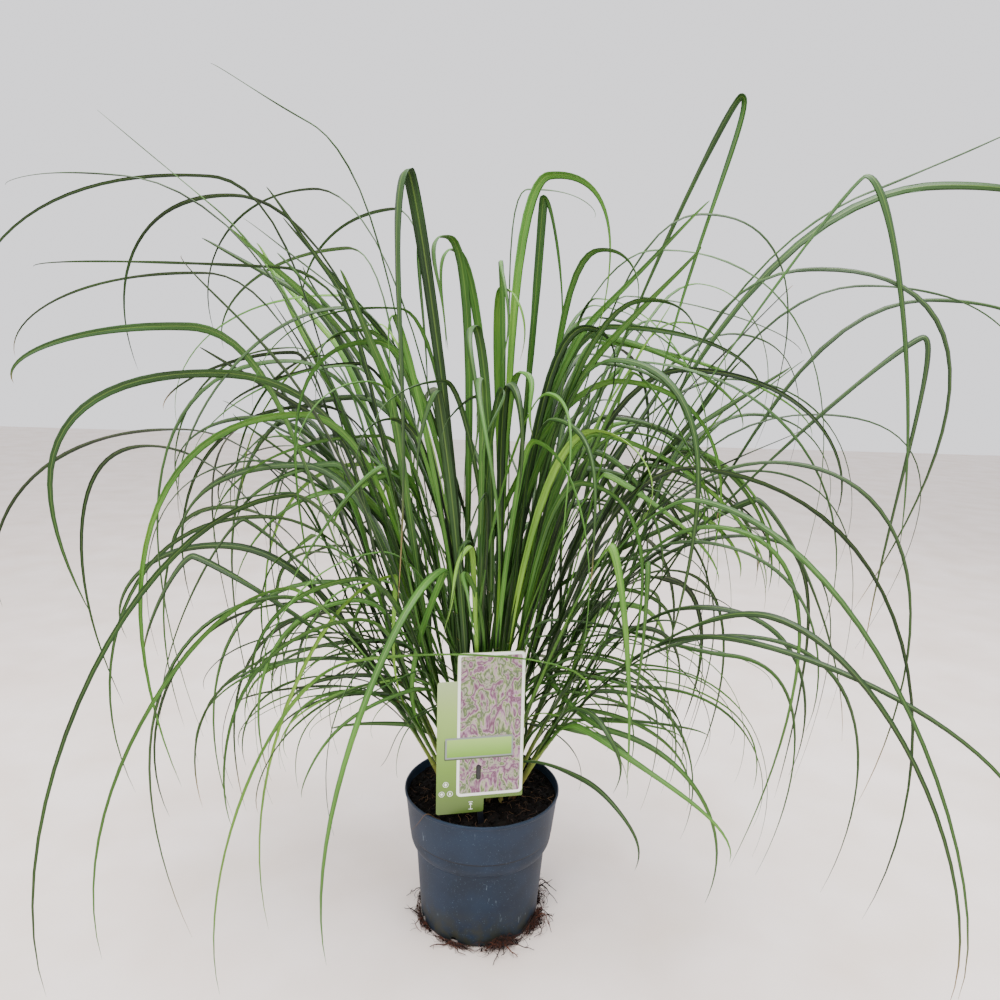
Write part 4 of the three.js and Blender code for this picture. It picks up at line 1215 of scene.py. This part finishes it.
def flat_shape(loops, low, high, edge=0.0):
    """Outlines in the card's plane (holes after the outer one) as a plate from low to high."""
    curve = bpy.data.curves.new("outline", "CURVE")
    curve.dimensions = "2D"
    curve.fill_mode = "BOTH"
    curve.extrude = (high - low) / 2 - edge
    curve.bevel_depth = edge
    curve.bevel_resolution = 1
    curve.offset = -edge
    for loop in loops:
        spline = curve.splines.new("POLY")
        spline.points.add(len(loop) - 1)
        flat = np.column_stack([loop, np.zeros(len(loop)), np.ones(len(loop))])
        spline.points.foreach_set("co", flat.ravel())
        spline.use_cyclic_u = True
    holder = bpy.data.objects.new("outline", curve)
    bpy.context.collection.objects.link(holder)
    mesh = bpy.data.meshes.new_from_object(holder.evaluated_get(bpy.context.evaluated_depsgraph_get()))
    bpy.data.objects.remove(holder)
    body = bmesh.new()
    body.from_mesh(mesh)
    bmesh.ops.remove_doubles(body, verts=body.verts, dist=1e-4)
    points = np.array([corner.co for corner in body.verts])
    faces = [[corner.index for corner in face.verts] for face in body.faces]
    body.free()
    points[:, 2] += (low + high) / 2
    return points, faces


def box_outline(left, bottom, right, top, radius):
    """Rectangle with quarter-circle corners."""
    quarter = np.radians(np.linspace(0, 90, 7))
    parts = []
    for x, y, start in ((right - radius, top - radius, 0), (left + radius, top - radius, 90),
                        (left + radius, bottom + radius, 180), (right - radius, bottom + radius, 270)):
        angle = quarter + np.radians(start)
        parts.append(np.stack([x + radius * np.cos(angle), y + radius * np.sin(angle)], axis=-1))
    return np.concatenate(parts)


def disc_outline(x, y, radius, sides=28):
    """Circle as even points."""
    angle = np.linspace(0, 2 * np.pi, sides, endpoint=False)
    return np.stack([x + radius * np.cos(angle), y + radius * np.sin(angle)], axis=-1)


def corner_rounded(corners):
    """Polygon whose corners (x, y, radius) are rounded by a quadratic curve."""
    corners = np.asarray(corners, dtype=float)
    at, radius = corners[:, :2], corners[:, 2:]
    start = at + unit(np.roll(at, 1, axis=0) - at) * radius
    end = at + unit(np.roll(at, -1, axis=0) - at) * radius
    t = np.linspace(0, 1, 6)[None, :, None]
    curve = start[:, None] * (1 - t) ** 2 + 2 * at[:, None] * (1 - t) * t + end[:, None] * t ** 2
    return curve.reshape(-1, 2)


def label_piece(name, shapes, material, slot, *nodes):
    """Shapes in the card's plane, put where the card hangs. The UV is across and up in decimetres."""
    points, faces, _ = gather(shapes)
    placed = label_base + points @ label_axes.T
    piece = put_mesh(name, placed, faces, [material], uv=points[:, :2] / 100, smooth=False)
    fasten(piece, slot, *nodes)


# Card: its foot, the top of its low left part, and the corner where its foot steps up
sheet_foot, sheet_top, panel_left, step_across, step_up = 14, 154, -28, 1, 28
# Slot for the stake's head: its middle, its foot and its size
slot_across, slot_bottom, slot_wide, slot_high = -5, 49, 5, 16
print_depth = 0.06
front = card_thickness

card_outline = corner_rounded([(card_left, sheet_foot, 3), (step_across, sheet_foot, 3),
                               (step_across, step_up, 1), (card_right, step_up, 2),
                               (card_right, card_top, 5), (panel_left, card_top, 5),
                               (panel_left, sheet_top, 0.5), (card_left, sheet_top, 3)])
slot_hole = box_outline(slot_across - slot_wide / 2, slot_bottom, slot_across + slot_wide / 2,
                        slot_bottom + slot_high, 2.3)

# Polypropylene sheet, offset printed and varnished: pale at the top, leaf green, olive at the foot.
card_print, tree, surface = new_material("varnished_green_print", 0.3, 1.49)
uv = add_node(tree, "ShaderNodeUVMap", uv_map="surface").outputs[0]
rise = add_node(tree, "ShaderNodeSeparateXYZ", {0: uv}).outputs["Y"]
height_share = add_node(tree, "ShaderNodeMapRange", {0: rise, 1: 0.14, 2: 1.56})
fade = add_node(tree, "ShaderNodeValToRGB", {0: height_share.outputs[0]})
lay_stops(fade, ((0, "#445a22"), (0.35, "#66892f"), (0.75, "#8fae5c"), (1, "#9fb27f")))
tree.links.new(fade.outputs[0], surface.inputs["Base Color"])
label_piece("label_sheet", [flat_shape([card_outline, slot_hole], 0, front, 0.12)], card_print,
            "label", "label_card")

# White print, laid on thick enough to show its edge: the picture's frame, small marks for sun,
# water and leaf in their rings, and a height arrow between two bars.
white_print, _, surface = new_material("opaque_white_print", 0.32)
surface.inputs["Base Color"].default_value = colour("#e9ebe4")
mark_middles = ((-42.5, 36), (-34, 36), (-38.5, 46))
sun_rays = disc_outline(*mark_middles[0], 1, 16)
sun_rays[::2] += (sun_rays[::2] - mark_middles[0]) * 0.7
drop = np.array([(-34, 38), (-33, 35.9), (-33.3, 34.7), (-34, 34.3), (-34.7, 34.7), (-35, 35.9)])
leaf_mark = np.array([(-38.5, 48), (-37.3, 46.4), (-37.6, 45), (-38.5, 44.2), (-39.4, 45),
                      (-39.7, 46.4)])
arrow = np.array([(-14.6, 17.4), (-10.4, 17.4), (-10.4, 18), (-12.2, 18), (-12.2, 23.4),
                  (-11.2, 22.4), (-10.8, 22.9), (-12.5, 24.7), (-14.2, 22.9), (-13.8, 22.4),
                  (-12.8, 23.4), (-12.8, 18), (-14.6, 18)])
bar = box_outline(-14.6, 25.2, -10.4, 25.8, 0.1)
frame_outline = box_outline(panel_left + 0.5, 32, card_right - 0.5, card_top - 0.5, 4.5)
rings = [[disc_outline(*middle, 2.9), disc_outline(*middle, 2.4)] for middle in mark_middles]
white_loops = [[frame_outline, slot_hole], [sun_rays], [drop], [leaf_mark], [arrow], [bar], *rings]
label_piece("white_marks", [flat_shape(loops, front, front + print_depth) for loops in white_loops],
            white_print, "label")

# Picture panel: a generic marbled print. Its wavy bands come from the height on the card, pushed
# up and down by two noises, in cream, pink, mauve and leaf green.
picture, tree, surface = new_material("varnished_marbled_print", 0.28)
uv = add_node(tree, "ShaderNodeUVMap", uv_map="surface").outputs[0]
flow = add_node(tree, "ShaderNodeTexNoise", {"Vector": uv, "Scale": 4.2, "Detail": 5, "Distortion": 1})
combed = add_node(tree, "ShaderNodeMapping", {0: uv, "Rotation": (0, 0, 0.5), "Scale": (7, 1.6, 1)})
threads = add_node(tree, "ShaderNodeTexNoise", {"Vector": combed.outputs[0], "Scale": 3, "Detail": 4,
                                                "Distortion": 0.6})
rise = add_node(tree, "ShaderNodeSeparateXYZ", {0: uv}).outputs["Y"]
pushed = rise
for noise, push in ((flow, 3.2), (threads, 1.2)):
    pushed = add_node(tree, "ShaderNodeMath", {0: noise.outputs["Fac"], 1: push, 2: pushed},
                      operation="MULTIPLY_ADD").outputs[0]
band_share = add_node(tree, "ShaderNodeMath", {0: pushed, 1: 1.3}, operation="MULTIPLY")
band_share = add_node(tree, "ShaderNodeMath", {0: band_share.outputs[0]}, operation="FRACT")
marbled = add_node(tree, "ShaderNodeValToRGB", {0: band_share.outputs[0]})
lay_stops(marbled, ((0, "#3c4d30"), (0.14, "#6b8247"), (0.28, "#a39f8c"), (0.42, "#95708a"),
                    (0.56, "#5a3049"), (0.7, "#7f5a70"), (0.85, "#9a9a86"), (1, "#3c4d30")))
tree.links.new(marbled.outputs[0], surface.inputs["Base Color"])
picture_outline = box_outline(panel_left + 3.4, 35, card_right - 3.4, card_top - 3.4, 2.2)
label_piece("picture_panel", [flat_shape([picture_outline, slot_hole], front + print_depth,
                                         front + 2 * print_depth)], picture, "label")

# Name band: a blank pale green plate with a printed grey bevel and a soft dark shadow under it.
band_left, band_bottom, band_right, band_top = -39.5, 73, 30.5, 95
band_shadow, _, surface = new_material("dark_olive_print", 0.3)
surface.inputs["Base Color"].default_value = colour("#3c4a2c")
shadow_outline = box_outline(band_left - 0.9, band_bottom - 1.4, band_right - 0.5, band_top - 2, 1.2)
label_piece("name_band_shadow", [flat_shape([shadow_outline], front, front + 3 * print_depth)],
            band_shadow, "label")
band_edge, _, surface = new_material("grey_bevel_print", 0.3)
surface.inputs["Base Color"].default_value = colour("#7d8482")
edge_outline = box_outline(band_left, band_bottom, band_right, band_top, 0.8)
label_piece("name_band_edge", [flat_shape([edge_outline], front, front + 0.35, 0.12)],
            band_edge, "label")
band_print, tree, surface = new_material("pale_green_band_print", 0.3)
uv = add_node(tree, "ShaderNodeUVMap", uv_map="surface").outputs[0]
rise = add_node(tree, "ShaderNodeSeparateXYZ", {0: uv}).outputs["Y"]
to_top = add_node(tree, "ShaderNodeMapRange", {0: rise, 1: 0.75, 2: 0.93})
paler = add_node(tree, "ShaderNodeMix", {0: to_top.outputs[0], 6: colour("#69992a"),
                                         7: colour("#93ba5e")}, data_type="RGBA")
tree.links.new(paler.outputs[2], surface.inputs["Base Color"])
band_inset = 1.7
band_outline = box_outline(band_left + band_inset, band_bottom + band_inset, band_right - band_inset,
                           band_top - band_inset, 0.5)
label_piece("name_band", [flat_shape([band_outline], front + 0.3, front + 0.4)], band_print, "label")


# ---- Label stake -----------------------------------------------------------------------------
# An injection-moulded spear. Its flat leg runs down behind the card into the soil, and its oval
# head comes through the card's slot and holds it.

# Room round the head in its slot, and between the leg and the card
head_gap = 0.6
leg_gap = 0.3
leg_outline = np.array([(-8, 69), (-8, 43), (-3, -8), (0, -30), (3, -8), (-2, 43), (-2, 69)])
leg = flat_shape([leg_outline], -leg_gap - stake_thickness, -leg_gap, 0.35)
head_outline = box_outline(slot_across - slot_wide / 2 + head_gap, slot_bottom + head_gap,
                           slot_across + slot_wide / 2 - head_gap,
                           slot_bottom + slot_high - head_gap, 1.85)
head = flat_shape([head_outline], -leg_gap - stake_thickness / 2, front + 0.8, 0.3)
rib_outline = np.array([(-5.7, 67), (-5.7, 42), (-0.5, -22), (0.4, -22), (-4.3, 42), (-4.3, 67)])
stake_rib = flat_shape([rib_outline], -leg_gap - stake_thickness - 0.8, -leg_gap - 1, 0.15)

stake_plastic, tree, surface = new_material("moulded_navy_polystyrene", 0.36, 1.52)
place = add_node(tree, "ShaderNodeTexCoord").outputs["Object"]
rubbed = add_node(tree, "ShaderNodeMix", {0: patches(tree, place, 6, 0.5, 0.75), 6: colour("#080a11"),
                                          7: colour("#12151d")}, data_type="RGBA")
tree.links.new(rubbed.outputs[2], surface.inputs["Base Color"])
label_piece("moulded_stake", [leg, head, stake_rib], stake_plastic, "stake", "label_stake")


# ---- Root tufts ------------------------------------------------------------------------------
# Roots that have grown out of the drain notches: a few long ones lead each tuft, and many finer
# ones mat round them along the foot, dark brown with rusty tips and clotted with peat.

root_floor = 0.7
# The tufts between these two turns are the large ones, at the front and to its right
large_from, large_to = 290, 30


def wander(path, amount, draw):
    """Sideways waves of random phase that grow from the root's start, kept off the floor."""
    step = np.linspace(0, 1, len(path))[:, None]
    phase = draw.uniform(0, 2 * np.pi, (1, 3))
    waves = np.sin(9 * step + phase) + 0.6 * np.sin(21 * step + 2 * phase)
    moved = path + waves * amount * np.minimum(step * 2, 1)
    moved[:, 2] = np.maximum(moved[:, 2], root_floor)
    return moved


def leading_roots(turn, large, index):
    """Knots and thickness of the tuft's long roots, drawn by the solid's own dice."""
    roll = dice(seed + 500 + index)
    count = 4 if large else 2
    for i in range(count):
        side = 2 * i / (count - 1) - 1
        length = (26 if large else 15) + roll() * 12
        lift = 3 + roll() * (16 if large else 5)
        swing = side * (7 + roll() * 5)
        knots = [around(turn + side * 0.9, foot_radius + 2, 3.1),
                 around(turn + swing * 0.5, foot_radius + 5 + length * 0.2, lift),
                 around(turn + swing, foot_radius + 6 + length * 0.4, lift * 0.6 + 1.2),
                 around(turn + swing * 1.6, foot_radius + 6 + length * (0.3 + 0.5 * roll()), 1.9)]
        yield knots, 0.8 + 0.5 * roll()


def matted_root(turn, large, draw):
    """Fine root that creeps sideways along the foot, bulging out and up a little in its middle."""
    knots_in_all = 6
    start = turn + draw.normal(0, 7)
    sweep = draw.choice([-1, 1]) * draw.uniform(5, 19)
    out = draw.gamma(2.0, 2.6 if large else 1.5)
    lift = draw.uniform(0.6, 4) + draw.gamma(1.5, 2.2) if large else draw.uniform(0.4, 2.4)
    share = np.linspace(0, 1, knots_in_all)
    reach = foot_radius + 0.9 + out * np.sin(np.pi * share * 0.75) + draw.normal(0, 0.7, knots_in_all)
    height = 0.6 + lift * np.sin(np.pi * (0.25 + 0.75 * share)) + draw.uniform(0, 0.8, knots_in_all)
    reach = np.maximum(reach, foot_radius + 0.6)
    knots = [around(start + sweep * t, r, h) for t, r, h in zip(share, reach, height)]
    return wander(passing(knots, 16), 0.35, draw), draw.uniform(0.16, 0.5)


def loose_root(turn, large, draw):
    """Fine root that springs outwards and droops to the floor."""
    off = draw.normal(0, 6)
    length = draw.gamma(2.4, 2.7 if large else 1.9)
    lift = draw.uniform(0.8, 10) if large else draw.uniform(0.8, 3)
    bend = draw.normal(0, 7)
    knots = [around(turn + off, foot_radius + 0.8, draw.uniform(0.8, 4)),
             around(turn + off + bend * 0.3, foot_radius + 2.5 + length * 0.3, lift),
             around(turn + off + bend * 0.8, foot_radius + 3 + length * 0.55, lift * 0.5 + 0.8),
             around(turn + off + bend * 1.3, foot_radius + 2.5 + length * draw.uniform(0.3, 0.95), 0.8)]
    return wander(passing(knots, 14), 0.5, draw), draw.uniform(0.14, 0.4)


leading_rows, fork_rows, forks = 22, 9, 5
# How many fine roots a large tuft and a small one have
mat_counts, loose_counts = (130, 75), (38, 16)


def root_tuft(turn, large, index, draw):
    """Long roots with side roots, then the mat, then the loose ones, each round and tapering."""
    parts = []
    for knots, thick in leading_roots(turn, large, index):
        path = wander(passing(knots, leading_rows), 0.5, draw)
        parts.append(strand(path, thick * np.linspace(0.85, 0.3, leading_rows), 6))
        for _ in range(forks):
            fork = path[draw.integers(4, 19)]
            heading = draw.normal(0, 1, 3) * (1, 1, 0.45)
            heading *= draw.uniform(3, 9) / np.linalg.norm(heading)
            knees = [fork, fork + heading * 0.5 + (0, 0, 0.6), fork + heading]
            side_root = wander(passing(knees, fork_rows), 0.3, draw)
            parts.append(strand(side_root, np.linspace(0.3, 0.1, fork_rows), 4))
    mat_count, loose_count = mat_counts[not large], loose_counts[not large]
    runs = [matted_root(turn, large, draw) for _ in range(mat_count)]
    runs += [loose_root(turn, large, draw) for _ in range(loose_count)]
    return parts + [strand(path, thick * np.linspace(1, 0.35, len(path)), 4) for path, thick in runs]


# Living root: a corky brown skin, rustier where it is young, dusted with peat.
root_skin, tree, surface = new_material("corky_brown_root", 0.85, 1.45)
tag = add_node(tree, "ShaderNodeAttribute", attribute_name="growth").outputs["Color"]
place = add_node(tree, "ShaderNodeTexCoord").outputs["Object"]
young = add_node(tree, "ShaderNodeMix", {0: tag, 6: colour("#1a0d08"), 7: colour("#5a2e1a")},
                 data_type="RGBA")
peaty = add_node(tree, "ShaderNodeMix", {0: patches(tree, place, 3.3, 0.5, 0.68), 6: young.outputs[2],
                                         7: colour("#0b0705")}, data_type="RGBA")
tree.links.new(peaty.outputs[2], surface.inputs["Base Color"])
corky = add_node(tree, "ShaderNodeBump", {"Height": patches(tree, place, 1.1, 0.2, 0.8),
                                          "Distance": 0.0004, "Strength": 0.7})
tree.links.new(corky.outputs[0], surface.inputs["Normal"])

draw = np.random.default_rng(seed + 21)
floor_gap = 0.05
for index in range(notch_count):
    turn = 360 * (index + 0.5) / notch_count
    large = turn > large_from or turn < large_to
    parts = root_tuft(turn, large, index, draw)
    # Clots of peat that cling to the roots
    clot_count = 60 if large else 25
    clot_turn = turn + draw.uniform(-20, 20, clot_count)
    clot_reach = foot_radius + 1.5 + draw.gamma(1.5, 2.2 if large else 1.0, clot_count)
    clot_height = draw.uniform(0.8, 4.5 if large else 2.5, clot_count)
    clots = np.stack([around(*spot) for spot in zip(clot_turn, clot_reach, clot_height)])
    points, faces, owner = gather([*parts, lumps(clots, draw.uniform(0.4, 1.3, clot_count), draw)])
    points[:, 2] = np.maximum(points[:, 2], floor_gap)
    tones = draw.uniform(0, 1, owner.max() + 1) ** 2
    clot_faces = len(ball_sides) * clot_count
    tuft = put_mesh(f"matted_roots_{index + 1}", points, faces, [root_skin, peat],
                    tags=tones[owner][:, None],
                    face_materials=np.arange(len(faces)) >= len(faces) - clot_faces)
    fasten(tuft, "roots", f"root_tuft_{index + 1}")
